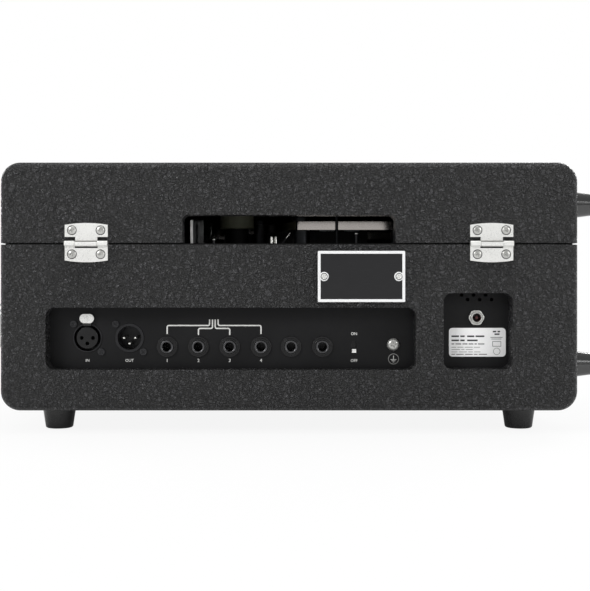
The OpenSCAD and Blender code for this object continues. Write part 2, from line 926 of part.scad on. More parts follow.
module dc_jack_nut() {
    color("#9a9c9e") rear_face() translate([power_x + dc_x, 0, case_z + power_z + dc_z])
        slab(panel_y - 2.6, 2.6) difference() {
            intersection() {
                hexagon(10.4);
                circle(5.6);
            }
            circle(4.05);
        }
}

module rating_label() {
    color("#d7d9db") rear_face() translate([power_x + label_x, 0, case_z + power_z - label_drop])
        slab(panel_y - 0.4, 0.4) round_rect(label_w, label_h, 2.6);
}

// ---- Control panel ----

front_panel_z = (floor_z + rail_top_z) / 2;

module control_panel() {
    color("#9da09f") front_face() difference() {
        translate([0, 0, front_panel_z]) slab(wall, control_t)
            square([in_w - 2 * clear, rail_top_z - floor_z - 2 * clear], center = true);
        for (p = small_knobs) peg(p[0], p[1], wall - 1, control_t + 2, bush_r);
        peg(selector_x, selector_z, wall - 1, control_t + 2, bush_r);
        peg(toggle_x, toggle_z, wall - 1, control_t + 2, bush_r);
        for (x = input_jacks) peg(x, input_jack_z, wall - 1, control_t + 2, 5);
        translate([meter_x, 0, meter_z]) slab(wall - 1, control_t + 2)
            square([meter_w - 6, meter_h - 6], center = true);
        rail_notches();
        for (p = control_screw_places) peg(p[0], p[1], wall - 1, control_t + 2, 1.7);
    }
}

// The panel's upper corners step round the deck rails
module rail_notches() {
    for (s = [-1, 1]) translate([s * in_w / 2 - rail_t - clear, wall - 1, rail_top_z - rail_h - clear])
        cube([2 * (rail_t + clear), control_t + 2, rail_h + 2]);
}

control_screw_places = [
    for (x = [-front_w / 2 + 8, 0, front_w / 2 - 8], z = [-1, 1])
        [x, case_z + front_z + z * (front_h / 2 - 5)]
];

// Pots with their bushes, and the toggle's body
module pot(x, z, body_r, depth) {
    difference() {
        union() {
            peg(x, z, wall + control_t, depth, body_r);
            peg(x, z, wall - 2, control_t + 3, bush_r - run);
            translate([x, 0, z]) slab(wall - 1.6, 1.6) hexagon(11);
        }
        peg(x, z, wall - 3, control_t + depth - 1, shaft_r + run);
    }
}

module control_bodies() {
    color("#8d8f90") front_face() {
        for (p = small_knobs) pot(p[0], p[1], pot_r, pot_depth);
        pot(selector_x, selector_z, selector_pot_r, selector_pot_depth);
        difference() {
            union() {
                translate([toggle_x, wall + control_t + 8, toggle_z]) cube([13, 16, 20], center = true);
                peg(toggle_x, toggle_z, wall - 6, control_t + 7, bush_r - run);
                translate([toggle_x, 0, toggle_z]) slab(wall - 1.6, 1.6) hexagon(11);
            }
            peg(toggle_x, toggle_z, wall - 7, 15, 3.4);
            translate([toggle_x, wall + control_t + 5, toggle_z]) cube([5, 9, 14], center = true);
        }
    }
}

module panel_screws() {
    color("#2a2a2b") {
        front_face() for (p = control_screw_places)
            screw(p[0], p[1], wall, 2.9, 1.4, 1.5, control_t + 4);
        deck_screw_places() cross_head(3.4, 1.6);
        deck_screw_shanks(0);
    }
}

module deck_screw_shanks(grow) {
    deck_screw_places() shank(0, 0, 0, 1.7, deck_t + 8, grow);
}

module deck_screw_places() {
    for (x = [-1, 1], y = [-1, 0, 1])
        translate([x * (in_w / 2 - rail_t / 2), y * (in_d / 2 - 12), deck_z])
            rotate([-90, 0, 0]) children();
}

// Knob with a skirt and a pointer, on its shaft. The shaft ends inside the pot.
module knob(x, z, r, skirt) {
    gap = 2.6;
    front_face() translate([x, 0, z]) {
        difference() {
            union() {
                peg(0, 0, wall - gap - skirt, skirt - 0.4, r + 1.5);
                peg(0, 0, wall - gap - knob_len + 2.2, knob_len - 2.2, r);
                translate([-1, wall - gap - knob_len + 2.2, 0]) cube([2, knob_len - 4, r + 1]);
            }
            peg(0, 0, wall - gap - knob_len + 8, knob_len, shaft_r + 0.02);
            peg(0, 0, wall - gap - 4, 6, bush_r + 2.2);
        }
        peg(0, 0, wall - gap - knob_len + 8, knob_len, shaft_r);
    }
}

module input_volume_knob() {
    color("#1d1d1e") knob(input_volume_x, upper_row_z, knob_r, 3);
}

module mode_selector_knob() {
    color("#1d1d1e") knob(selector_x, selector_z, selector_r, 4);
}

module bass_knob() {
    color("#1d1d1e") knob(column_1, upper_row_z, knob_r, 3);
}

module treble_knob() {
    color("#1d1d1e") knob(column_2, upper_row_z, knob_r, 3);
}

module echo_volume_knob() {
    color("#1d1d1e") knob(column_3, upper_row_z, knob_r, 3);
}

module repeat_rate_knob() {
    color("#1d1d1e") knob(column_1, lower_row_z, knob_r, 3);
}

module intensity_knob() {
    color("#1d1d1e") knob(column_2, lower_row_z, knob_r, 3);
}

toggle_pivot_y = wall + 1;

module toggle_lever() {
    color("#d4d6d8") front_face() translate([toggle_x, toggle_pivot_y, toggle_z]) {
        sphere(r = 2.8);
        rotate([-102, 0, 0]) translate([0, 0, -14]) cylinder(r = 1.2, h = 14);
        rotate([-102, 0, 0]) translate([0, 0, -15]) sphere(r = 2.2);
        rotate([-102, 0, 0]) cylinder(r = 1.2, h = 6);
    }
}

// Level meter: case in the panel's cut-out with a printed dial and a pivot
meter_depth = 28;
dial_y = wall + 4;
needle_pivot_z = -12;

module meter_case() {
    color("#ece5cf") front_face() translate([meter_x, 0, meter_z]) {
        difference() {
            union() {
                slab(wall - 3, 3) round_rect(meter_w, meter_h, 3);
                slab(wall, meter_depth - 3) square([meter_w - 7, meter_h - 7], center = true);
            }
            slab(wall - 4, dial_y - wall + 4) round_rect(meter_w - 9, meter_h - 9, 2);
        }
        peg(0, needle_pivot_z, dial_y - 3, 3.2, 0.5);
    }
}

module meter_window() {
    color("#dfe6ea", 0.35) front_face() translate([meter_x, 0, meter_z])
        slab(wall - 2.6, 1.6) round_rect(meter_w - 9.2, meter_h - 9.2, 1.9);
}

module meter_needle() {
    color("#1a1a1a") front_face() translate([meter_x, dial_y - 2.6, meter_z + needle_pivot_z])
        difference() {
            union() {
                peg(0, 0, 0, 1.8, 1.6);
                rotate([0, -42, 0]) translate([-0.4, 0.5, 0]) cube([0.8, 0.6, 25]);
            }
            peg(0, 0, -1, 4, 0.5 + run);
        }
}

// ---- Tape path ----

function unit(v) = v / norm(v);

// Points of a fillet of radius r at corner b between a and c
function fillet(a, b, c, r, steps) =
    let (u = unit(b - a), v = unit(c - b), turn = acos(u * v), side = sign(u[0] * v[1] - u[1] * v[0]),
         start = b - u * r * tan(turn / 2), n = side * [-u[1], u[0]], mid = start + n * r)
    [for (i = [0:steps]) mid - r * (n * cos(turn * i / steps) - u * sin(turn * i / steps))];

function fillet_centre(a, b, c, r) =
    let (u = unit(b - a), v = unit(c - b), turn = acos(u * v), side = sign(u[0] * v[1] - u[1] * v[0]))
    b - u * r * tan(turn / 2) + side * r * [-u[1], u[0]];

corner_ids = [1:len(path_corners) - 2];
outer_run = [
    for (i = corner_ids, p = fillet(path_corners[i - 1], path_corners[i], path_corners[i + 1], bend_r, 6)) p
];

// Folds of the tape inside the bin, from the rear slot to the front slot
fold_count = 5;
fold_x0 = bin_x0 + 12;
fold_span = bin_x1 - bin_x0 - 26;
fold_steps = 70;
y_in = path_corners[len(path_corners) - 1][1];
bin_run = [
    for (i = [0:fold_steps]) let (t = i / fold_steps)
        [fold_x0 + fold_span * (0.5 - 0.5 * cos(360 * fold_count * t)), y_in + (run_front_y - y_in) * t]
];
tape_points = concat(outer_run, [path_corners[len(path_corners) - 1]], bin_run);

// The loop's points moved sideways by d
function offset_loop(p, d) = [
    for (i = [0:len(p) - 1])
        let (a = p[(i + len(p) - 1) % len(p)], b = p[i], c = p[(i + 1) % len(p)],
             u = unit(b - a), v = unit(c - b), m = unit(u + v))
        b + d * [-m[1], m[0]] / max(0.5, m * u)
];

module tape_loop() {
    color("#4a3d36") translate([0, 0, tape_mid_z - tape_w / 2]) linear_extrude(tape_w) difference() {
        polygon(offset_loop(tape_points, tape_t / 2));
        polygon(offset_loop(tape_points, -tape_t / 2));
    }
}

// ---- Tape deck ----

bearing_r = 8;
bearing_h = 30;

module deck_plate() {
    color("#b4b7b9") difference() {
        union() {
            translate([-in_w / 2 + clear, -in_d / 2 + clear, rail_top_z])
                cube([in_w - 2 * clear, in_d - 2 * clear, deck_t]);
            translate([capstan_x, capstan_y, rail_top_z - bearing_h])
                cylinder(r = bearing_r, h = bearing_h + deck_t);
        }
        translate([capstan_x, capstan_y, 0]) cylinder(r = capstan_r + run, h = big);
        translate([motor_x, motor_y, 0]) cylinder(r = motor_neck_r + 1, h = big);
        deck_screw_shanks(0.1);
    }
}

head_xs = [44, 16, -12, -34, -56];
head_w = 13;
head_d = 16;
head_gap = 0.3;
block_h = 6;

block_d = 24;
shield_h = 20;
shield_t = 2;

// Block under the heads, with an upright shield along its rear edge
module head_block() {
    color("#2b2b2d") difference() {
        translate([head_xs[4] - head_w, run_front_y + 3, deck_z]) {
            cube([head_xs[0] - head_xs[4] + 2 * head_w, block_d, block_h]);
            translate([0, block_d - shield_t, 0])
                cube([head_xs[0] - head_xs[4] + 2 * head_w, shield_t, shield_h]);
        }
        for (x = [head_xs[0] + 10, head_xs[4] - 10])
            translate([x, run_front_y + head_d + 5.5, deck_z - 1]) cylinder(r = 1.7, h = block_h + 2);
    }
}

module tape_heads() {
    y0 = run_front_y + tape_t / 2 + head_gap;
    color("#caccce") for (x = head_xs) intersection() {
        translate([x - head_w / 2, y0, deck_z + block_h]) cube([head_w, head_d, 18]);
        translate([x, y0 + 14, 0]) cylinder(r = 14, h = big);
    }
}

module motor() {
    color("#6f705f") translate([motor_x, motor_y, 0]) {
        difference() {
            union() {
                translate([0, 0, rail_top_z - motor_len]) cylinder(r = motor_r, h = motor_len);
                translate([0, 0, rail_top_z - 1])
                    cylinder(r = motor_neck_r, h = 1 + deck_t + motor_cap_top);
                translate([0, 0, deck_z + motor_cap_z])
                    cylinder(r = motor_cap_r, h = motor_cap_top - motor_cap_z);
            }
            translate([0, 0, rail_top_z - motor_len - 1]) cylinder(r = 2 + run, h = 20);
        }
    }
}

module motor_pulley() {
    color("#b79a56") translate([motor_x, motor_y, 0]) {
        translate([0, 0, wheel_z]) grooved_wheel(pulley_r);
        translate([0, 0, wheel_z + wheel_h]) cylinder(r = 2, h = 4 + 18);
    }
}

// Flat wheel with a shallow belt groove of radius r
module grooved_wheel(r) {
    cylinder(r = r, h = wheel_h);
    for (z = [0, wheel_h - 1.5]) translate([0, 0, z]) cylinder(r = r + 1.5, h = 1.5);
}

module capstan_flywheel() {
    color("#a9abad") translate([capstan_x, capstan_y, 0]) {
        difference() {
            translate([0, 0, wheel_z]) grooved_wheel(flywheel_r);
            translate([0, 0, wheel_z - 1]) cylinder(r = capstan_r + 0.02, h = wheel_h + 2);
        }
        translate([0, 0, wheel_z - 2]) cylinder(r = capstan_r, h = tape_mid_z + 12 - wheel_z + 2);
    }
}

belt_t = 1;
belt_h = 5;
belt_gap = 0.25;

module belt_outline(extra) {
    hull() {
        translate([motor_x, motor_y]) circle(pulley_r + extra);
        translate([capstan_x, capstan_y]) circle(flywheel_r + extra);
    }
}

module drive_belt() {
    color("#161617") translate([0, 0, wheel_z + (wheel_h - belt_h) / 2])
        linear_extrude(belt_h) difference() {
            belt_outline(belt_gap + belt_t);
            belt_outline(belt_gap);
        }
}

arm_t = 3;
arm_z = deck_z + 6;
roller_h = 12;
arm_pin_r = 2;

module pinch_arm() {
    color("#9b9ea0") {
        difference() {
            union() {
                hull() {
                    translate([arm_pivot[0], arm_pivot[1], arm_z]) cylinder(r = 6, h = arm_t);
                    translate([roller_rest[0], roller_rest[1], arm_z]) cylinder(r = 5, h = arm_t);
                }
                translate([arm_pivot[0], arm_pivot[1], deck_z + clear]) cylinder(r = 6, h = 14);
                translate([roller_rest[0], roller_rest[1], arm_z])
                    cylinder(r = arm_pin_r, h = arm_t + 1 + roller_h + 2);
            }
            translate([arm_pivot[0], arm_pivot[1], 0]) cylinder(r = 2.5 + run, h = big);
        }
    }
}

module pinch_roller() {
    color("#19191a") translate([roller_rest[0], roller_rest[1], arm_z + arm_t + 0.5]) difference() {
        cylinder(r = roller_r, h = roller_h);
        translate([0, 0, -1]) cylinder(r = arm_pin_r + run, h = roller_h + 2);
    }
}

white_pins = [[13.6, run_back_y - 13.5], [10.2, run_back_y - 13.5]];

module guide_posts() {
    color("#d6d8da") {
        for (i = corner_ids) {
            c = fillet_centre(path_corners[i - 1], path_corners[i], path_corners[i + 1], bend_r);
            translate([c[0], c[1], deck_z]) {
                cylinder(r = post_r, h = tape_z + tape_w / 2 + 4);
                cylinder(r = post_r + 2, h = tape_z - tape_w / 2 - 0.6);
                translate([0, 0, tape_z + tape_w / 2 + 0.6]) cylinder(r = post_r + 2, h = 2);
            }
        }
        for (p = white_pins) translate([p[0], p[1], deck_z]) cylinder(r = 1.1, h = 11);
        translate([-36, run_back_y + 2.2, deck_z]) cylinder(r = 1.1, h = tape_z + tape_w / 2 + 4);
        translate([arm_pivot[0], arm_pivot[1], deck_z]) {
            cylinder(r = 2.5, h = 17);
            translate([0, 0, 14 + 2 * clear]) cylinder(r = 4.5, h = 2);
        }
    }
}

module tape_bin() {
    color("#dfe8ec", 0.35) difference() {
        translate([bin_x0, -bin_y, deck_z]) cube([bin_x1 - bin_x0, 2 * bin_y, bin_h]);
        translate([bin_x0 + bin_t, bin_t - bin_y, deck_z - 1])
            cube([bin_x1 - bin_x0 - 2 * bin_t, 2 * (bin_y - bin_t), bin_h + 2]);
        for (y = [run_front_y, y_in]) translate([bin_x0 - 1, y - 5, tape_mid_z - 6])
            cube([bin_t + 2, 10, 30]);
    }
}

module bin_cover() {
    color("#dfe8ec", 0.35) translate([bin_x0, -bin_y, deck_z + bin_h])
        cube([bin_x1 - bin_x0, 2 * bin_y, bin_t]);
}

// ---- Board ----

board_w = 300;
board_d = 150;
board_up = 8;
board_y = -12;

module main_board() {
    color("#3c5a3a") {
        translate([-board_w / 2, board_y - board_d / 2, floor_z + board_up]) cube([board_w, board_d, 1.6]);
        for (x = [-1, 1], y = [-1, 1])
            translate([x * (board_w / 2 - 8), y * (board_d / 2 - 8) + board_y, floor_z])
                cylinder(r = 4, h = board_up);
        for (x = [-3:3], y = [-1, 1]) translate([x * 38, y * 34 + board_y, floor_z + board_up + 1.6])
            cylinder(r = 5, h = 14);
        for (x = [-2:2]) translate([x * 50 - 9, board_y - 4, floor_z + board_up + 1.6]) cube([18, 8, 4]);
    }
}

// ---- Catches ----

catch_x = 120;
catch_w = 12;
tongue_t = 1.5;
tongue_h = 12;
catch_y = -in_d / 2 + 8;

module lid_catches() {
    color("#c6c8ca") for (s = [-1, 1]) translate([s * catch_x - catch_w / 2, catch_y, deck_z]) {
        cube([catch_w, 12, 1.5]);
        cube([catch_w, tongue_t, tongue_h]);
    }
}

module lid_strikes() {
    gap = 0.7;
    z0 = seam_z + seam_gap / 2 + 2;
    color("#c6c8ca") for (s = [-1, 1]) translate([s * catch_x - catch_w / 2, 0, 0]) difference() {
        translate([0, -in_d / 2, z0]) cube([catch_w, 8 + tongue_t + gap + 1.5, 14]);
        translate([-1, catch_y - gap, z0 - 1]) cube([catch_w + 2, tongue_t + 2 * gap, 12]);
    }
}

// ---- Placement of every node ----

base_case();
bottom_feet();
side_feet_base();
case_screws();
handle_caps();
handle_strap();
hinge_base_leaves();
hinge_pins();
hinge_base_screws();
badge_plate();
rear_screws();
rear_panel();
xlr_in_housing();
xlr_in_insert();
xlr_out_housing();
xlr_out_pins();
jack_bodies();
jack_nuts();
slide_switch_body();
ground_terminal();
power_plate();
dc_jack();
dc_jack_nut();
rating_label();
control_panel();
panel_screws();
control_bodies();
meter_case();
meter_window();
deck_plate();
head_block();
tape_heads();
motor();
drive_belt();
guide_posts();
tape_loop();
tape_bin();
bin_cover();
main_board();
lid_catches();
lid_case();
side_feet_lid();
hinge_lid_leaves();
hinge_lid_screws();
lid_strikes();
xlr_latch();
slide_switch_knob();
toggle_lever();
meter_needle();
capstan_flywheel();
motor_pulley();
pinch_arm();
pinch_roller();
input_volume_knob();
mode_selector_knob();
bass_knob();
treble_knob();
repeat_rate_knob();
intensity_knob();
echo_volume_knob();
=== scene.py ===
# %% [markdown]
# # A tape echo unit, dressed from its CAD frame
# The object is a portable tape echo: a vinyl-covered plywood case in two halves, with
# its sockets at the back and its dials in front. The CAD frame already holds every
# rigid shape at its real place. This notebook adds what a camera sees: finishes with
# their grain and wear, printed marks, and the small pieces that CAD leaves plain.

# %% Load the frame
import math
import bmesh
import bpy
from mathutils import Euler, Matrix, Vector


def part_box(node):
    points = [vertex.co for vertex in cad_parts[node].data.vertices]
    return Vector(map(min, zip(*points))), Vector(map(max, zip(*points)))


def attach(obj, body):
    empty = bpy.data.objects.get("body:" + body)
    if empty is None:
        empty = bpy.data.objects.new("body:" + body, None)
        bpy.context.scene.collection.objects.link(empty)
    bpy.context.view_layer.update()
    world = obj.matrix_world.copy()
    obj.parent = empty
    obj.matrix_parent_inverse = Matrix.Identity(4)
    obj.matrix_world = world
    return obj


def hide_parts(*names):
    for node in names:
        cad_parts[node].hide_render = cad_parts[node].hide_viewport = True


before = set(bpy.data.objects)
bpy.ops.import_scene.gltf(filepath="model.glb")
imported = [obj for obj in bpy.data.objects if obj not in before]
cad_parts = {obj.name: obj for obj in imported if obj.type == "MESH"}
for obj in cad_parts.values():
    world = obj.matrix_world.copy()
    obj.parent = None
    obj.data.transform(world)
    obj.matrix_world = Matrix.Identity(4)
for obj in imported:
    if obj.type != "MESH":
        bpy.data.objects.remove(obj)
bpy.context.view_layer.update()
MM = 0.001

# %% [markdown]
# ## The camera
# The photograph looks straight at the back from about three quarters of a metre, a
# little above the middle. A lens could be guessed and the object moved until it fits.
# Here the lens is worked out from the scale of the case in the picture, so that the
# object stays where the CAD puts it.

# %% Camera
PICTURE_WIDTH = 590
SENSOR = 36
CASE_BACK = 142.5
EYE_DISTANCE = 750
EYE_HEIGHT = 105
PIXELS_PER_MM = 1.40244

eye = bpy.data.cameras.new("eye")
eye.sensor_fit = "HORIZONTAL"
eye.sensor_width = SENSOR
eye.lens = PIXELS_PER_MM * EYE_DISTANCE / PICTURE_WIDTH * SENSOR
eye.shift_x = 6 / PICTURE_WIDTH
eye.shift_y = -8.5 / PICTURE_WIDTH
eye_object = bpy.data.objects.new("eye", eye)
eye_object.location = Vector((0, CASE_BACK + EYE_DISTANCE, EYE_HEIGHT)) * MM
eye_object.rotation_euler = (math.radians(90), 0, math.radians(180))
bpy.context.scene.collection.objects.link(eye_object)
bpy.context.scene.camera = eye_object
bpy.context.scene.view_settings.view_transform = "Standard"
print("lens", round(eye.lens, 2), "mm")

# %% [markdown]
# ## Small helpers for every finish
# Colours are written as the hex codes a painter would read off a screen, and the
# shader wants linear light, so one function turns one into the other. Another adds a
# node, sets what it is told and links the rest, which keeps each finish to a few lines.

# %% Helpers for finishes
def linear(code):
    """Linear colour of an sRGB hex code."""
    parts = [int(code[i:i + 2], 16) / 255 for i in (1, 3, 5)]
    return (*(c / 12.92 if c <= 0.04045 else ((c + 0.055) / 1.055) ** 2.4 for c in parts), 1)


def feed(tree, node, sockets):
    """Links each value that is a socket to the node's input, and sets any other value."""
    for key, value in sockets.items():
        if isinstance(value, bpy.types.NodeSocket):
            tree.links.new(value, node.inputs[key])
        else:
            node.inputs[key].default_value = value


def add_node(tree, kind, sockets=None, **settings):
    """Adds a node with its settings, and feeds its sockets."""
    node = tree.nodes.new(kind)
    for key, value in settings.items():
        setattr(node, key, value)
    feed(tree, node, sockets or {})
    return node


def new_finish(name):
    """An empty finish with its tree, its shader and the place on the object."""
    finish = bpy.data.materials.new(name)
    finish.use_nodes = True
    tree = finish.node_tree
    where = add_node(tree, "ShaderNodeTexCoord").outputs["Object"]
    return finish, tree, tree.nodes["Principled BSDF"], where


print("helpers ready")

# %% [markdown]
# ## A finish for moulded, painted and plated parts
# Real plastic, paint and plating are never one flat colour: tone and gloss drift over
# the part, and a fine grain from the mould or the brush catches the light. One function
# makes them all from sizes in millimetres. The edge radius rounds sharp CAD edges in
# the light only, which gives the thin bright line that a broken edge has. Matt black
# paint reflects far less at its surface than clear lacquer, so each finish also says
# how strong its surface shine is.

# %% Finish for moulded, painted and plated parts
def coated(name, dark, light, roughness, patch_mm=25, grain_mm=0.4, bump_mm=0.01, edge_mm=0.25,
           metallic=0.0, stretch=(1, 1, 1), gloss_drift=0.12, shine=0.5):
    """A finish that drifts from dark to light over patch_mm, with grain stretched along an axis."""
    finish, tree, shader, where = new_finish(name)
    patches = add_node(tree, "ShaderNodeTexNoise", {"Vector": where, "Scale": 1 / (patch_mm * MM), "Detail": 6})
    stretched = add_node(tree, "ShaderNodeMapping", {"Vector": where, "Scale": stretch})
    grain = add_node(tree, "ShaderNodeTexNoise",
                     {"Vector": stretched.outputs[0], "Scale": 1 / (grain_mm * MM), "Detail": 4})
    both = add_node(tree, "ShaderNodeMath", {0: patches.outputs["Fac"], 1: grain.outputs["Fac"]}, operation="MULTIPLY")
    tone = add_node(tree, "ShaderNodeMapRange", {"Value": both.outputs[0], "From Min": 0.12, "From Max": 0.42})
    colour = add_node(tree, "ShaderNodeMix", {0: tone.outputs[0], 6: linear(dark), 7: linear(light)}, data_type="RGBA")
    gloss = add_node(tree, "ShaderNodeMapRange",
                     {"Value": both.outputs[0], "From Min": 0.1, "From Max": 0.45,
                      "To Min": roughness - gloss_drift / 2, "To Max": roughness + gloss_drift})
    edge = add_node(tree, "ShaderNodeBevel", {"Radius": edge_mm * MM}, samples=4)
    bump = add_node(tree, "ShaderNodeBump",
                    {"Height": grain.outputs["Fac"], "Distance": bump_mm * MM, "Normal": edge.outputs[0]})
    feed(tree, shader, {"Base Color": colour.outputs[2], "Roughness": gloss.outputs[0], "Normal": bump.outputs[0],
                        "Metallic": metallic, "Specular IOR Level": shine})
    return finish


print("finish for moulded, painted and plated parts ready")

# %% [markdown]
# ## Bands of painted shade on a finish
# Shade falls in a dark line under the tab of the latch, in the fold of a hinge and at the
# foot of the motor, and there the shade is painted into the colour. A second material
# with its own faces would need the CAD mesh cut. Instead a finish can be given a box, in
# millimetres in the object's own frame, inside which its colour turns to another one.

# %% A box of another colour inside a finish
def inside_box(tree, where, low, high):
    """A socket that is 1 between two corners in millimetres and 0 outside them."""
    middle = [(a + b) / 2 * MM for a, b in zip(low, high)]
    half = [max(1e-6, (b - a) / 2 * MM) for a, b in zip(low, high)]
    moved = add_node(tree, "ShaderNodeVectorMath", {0: where, 1: middle}, operation="SUBTRACT")
    scaled = add_node(tree, "ShaderNodeVectorMath", {0: moved.outputs[0], 1: half}, operation="DIVIDE")
    sized = add_node(tree, "ShaderNodeVectorMath", {0: scaled.outputs[0]}, operation="ABSOLUTE")
    axes = add_node(tree, "ShaderNodeSeparateXYZ", {0: sized.outputs[0]})
    wide = add_node(tree, "ShaderNodeMath", {0: axes.outputs[0], 1: axes.outputs[1]}, operation="MAXIMUM")
    far = add_node(tree, "ShaderNodeMath", {0: wide.outputs[0], 1: axes.outputs[2]}, operation="MAXIMUM")
    return add_node(tree, "ShaderNodeMath", {0: far.outputs[0], 1: 1.0}, operation="LESS_THAN").outputs[0]


# Every use of this paints shade into a finish: the colour in the box stands in for shadow.
def darkened(finish, code, low, high, rough=0.6):
    """Turns the finish to another colour, without its metal gloss, between two corners in millimetres."""
    tree = finish.node_tree
    shader = tree.nodes["Principled BSDF"]
    inside = inside_box(tree, add_node(tree, "ShaderNodeTexCoord").outputs["Object"], low, high)
    for socket, value in (("Base Color", linear(code)), ("Metallic", 0.0), ("Roughness", rough)):
        before = shader.inputs[socket]
        colour = isinstance(value, tuple)
        mix = add_node(tree, "ShaderNodeMix", {0: inside}, data_type="RGBA" if colour else "FLOAT")
        first, second, result = (6, 7, 2) if colour else (2, 3, 0)
        if before.is_linked:
            tree.links.new(before.links[0].from_socket, mix.inputs[first])
        else:
            mix.inputs[first].default_value = before.default_value
        mix.inputs[second].default_value = value
        tree.links.new(mix.outputs[result], before)
    return finish


print("darkened ready")

# %% [markdown]
# ## The finishes
# Dark anodised or painted sheet has an eggshell gloss, moulded plastic a soft shine,
# and plating is smooth and bright. The latch's neck, the motor's neck and the fold of
# the hinge's lid leaf lie in shadow, and that shade is painted into their colour as a
# dark band. The end feet are worn smooth, and the power socket is moulded in dark red.

# %% Finishes by the record's material slots
FINISHES = {
    "foot_rubber": coated("moulded_rubber", "#0c0c0d", "#191a1a", 0.24, 18, 0.9, 0.02, 0.5, shine=0.6),
    "nickel": coated("nickel_plated_steel", "#c6c6c3", "#dededa", 0.24, 30, 0.5, 0.003, 0.3, 1.0),
    "handle_leather": coated("moulded_vinyl_strap", "#0d0d0e", "#1e1e20", 0.42, 14, 0.5, 0.05, 0.4, shine=0.3),
    "panel_black": coated("black_stove_enamel", "#121213", "#1d1d1e", 0.4, 40, 0.35, 0.006, 0.3, shine=0.15),
    "connector_black": coated("black_zinc_diecasting", "#18181a", "#2a2a2c", 0.3, 8, 0.4, 0.01, 0.35, shine=0.25),
    "black_plastic": coated("black_abs", "#0b0b0c", "#171718", 0.24, 10, 0.4, 0.006, 0.45, shine=0.35),
    "latch_white": coated("chromed_latch_steel", "#e0e0dd", "#f4f4f1", 0.28, 6, 0.3, 0.004, 0.3, 0.5),
    "white_nylon": coated("white_nylon", "#ededea", "#fbfbf9", 0.4, 4, 0.3, 0.004, 0.2),
    "contact_metal": coated("silver_plated_brass", "#d8d8d2", "#f8f8f4", 0.18, 5, 0.3, 0.002, 0.3, 1.0),
    "pulley_brass": coated("turned_brass", "#a98a4a", "#d8bb78", 0.22, 5, 0.3, 0.002, 0.2, 1.0, (1, 1, 0.1)),
    "label_white": coated("label_foil", "#f0f0f0", "#fcfcfc", 0.5, 18, 0.35, 0.012, 0.1),
    "panel_satin": coated("brushed_aluminium", "#8d9091", "#b9bcbd", 0.34, 60, 0.35, 0.006, 0.3, 1.0, (0.02, 1, 1)),
    "screw_black": coated("black_oxide_steel", "#1c1c1e", "#38383a", 0.2, 5, 0.3, 0.004, 0.3, 0.6, shine=0.5),
    # The zinc parts, the guide posts among them, are painted near black for the shade they lie in under the lid:
    # painted shade.
    "zinc": coated("zinc_plated_steel_painted_dark", "#1d1e1f", "#333436", 0.36, 7, 0.4, 0.005, 0.3, 1.0),
    "meter_cream": coated("meter_card_and_case", "#d9cfae", "#efe7cc", 0.45, 30, 0.4, 0.004, 0.3),
    "deck_aluminium": coated("sanded_aluminium", "#a3a6a8", "#c8cbcd", 0.36, 50, 0.4, 0.005, 0.3, 1.0, (0.03, 1, 1)),
    "head_steel": coated("ground_head_steel", "#8f9294", "#bfc1c3", 0.3, 6, 0.3, 0.002, 0.3, 1.0, (1, 0.1, 1)),
    "motor_olive": coated("olive_enamel", "#57584a", "#6f705f", 0.45, 20, 0.5, 0.02, 0.4, shine=0.2),
    "belt_rubber": coated("neoprene_rubber", "#0d0d0e", "#1c1c1d", 0.6, 8, 0.5, 0.02, 0.2, shine=0.3),
    # The tape is painted pale and metallic so that it shows bright in the shaded slot: a painted sheen.
    "tape_brown": coated("pale_painted_tape", "#cac4bf", "#dfd9d4", 0.14, 16, 0.8, 0.002, 0.05, 1.0, gloss_drift=0.04),
    "board_green": coated("glass_fibre_board", "#2c4a2f", "#42633f", 0.4, 12, 0.5, 0.01, 0.2),
    "needle_black": coated("needle_lacquer", "#111112", "#1c1c1d", 0.4, 4, 0.3, 0.003, 0.1),
    "knob_black": coated("black_phenolic", "#0c0c0d", "#1a1a1b", 0.26, 10, 0.5, 0.008, 0.35, shine=0.4),
}
INK = coated("white_screen_ink", "#c9c9c6", "#e9e9e6", 0.6, 6, 0.25, 0.004, 0.02)
GREY_INK = coated("grey_screen_ink", "#7d7d7b", "#979795", 0.6, 6, 0.25, 0.004, 0.02)
DARK_INK = coated("black_screen_ink", "#151515", "#262626", 0.6, 6, 0.25, 0.004, 0.02)
RED_INK = coated("red_screen_ink", "#8e1f1a", "#a8302a", 0.6, 6, 0.25, 0.004, 0.02)
FOAM = coated("black_cellular_foam", "#070707", "#101010", 0.85, 6, 0.6, 0.08, 0.1, shine=0.1)
ANY = 900
LATCH_NECK_TOP = 78.7
MOTOR_NECK_TOP = 150.7
LEAF_FOLD = (137.1, 137.9)
# The latch's neck and the motor's foot are painted near black up to these heights: painted shade where they sit in
# shadow.
darkened(FINISHES["latch_white"], "#1b1b1b", (-ANY, -ANY, 0), (ANY, ANY, LATCH_NECK_TOP))
darkened(FINISHES["motor_olive"], "#060606", (-ANY, -ANY, 0), (ANY, ANY, MOTOR_NECK_TOP))
HINGE_PLATE = coated("polished_hinge_nickel", "#e2e2df", "#f2f2ef", 0.3, 30, 0.5, 0.003, 0.3, 0.35)
SCREW_PLATE = coated("nickel_plated_screw", "#a8a8a5", "#d0d0cc", 0.26, 5, 0.3, 0.003, 0.2, 0.6)
# The fold of the lid leaf, between the heights in LEAF_FOLD, is painted dark: a painted shadow line above the knuckle.
HINGE_LEAF = darkened(coated("nickel_hinge_leaf", "#e2e2df", "#f2f2ef", 0.3, 30, 0.5, 0.003, 0.3, 0.35),
                      "#4c4b45", (-ANY, 140, LEAF_FOLD[0]), (ANY, 147, LEAF_FOLD[1]))
SIDE_FOOT = coated("polished_rubber", "#0c0c0d", "#191a1a", 0.13, 18, 0.9, 0.004, 0.5, gloss_drift=0.04, shine=1.0)
SOCKET_RED = coated("dark_red_moulding", "#33100f", "#4d1a1a", 0.24, 4, 0.3, 0.004, 0.2)
print(len(FINISHES), "moulded, painted and plated finishes")
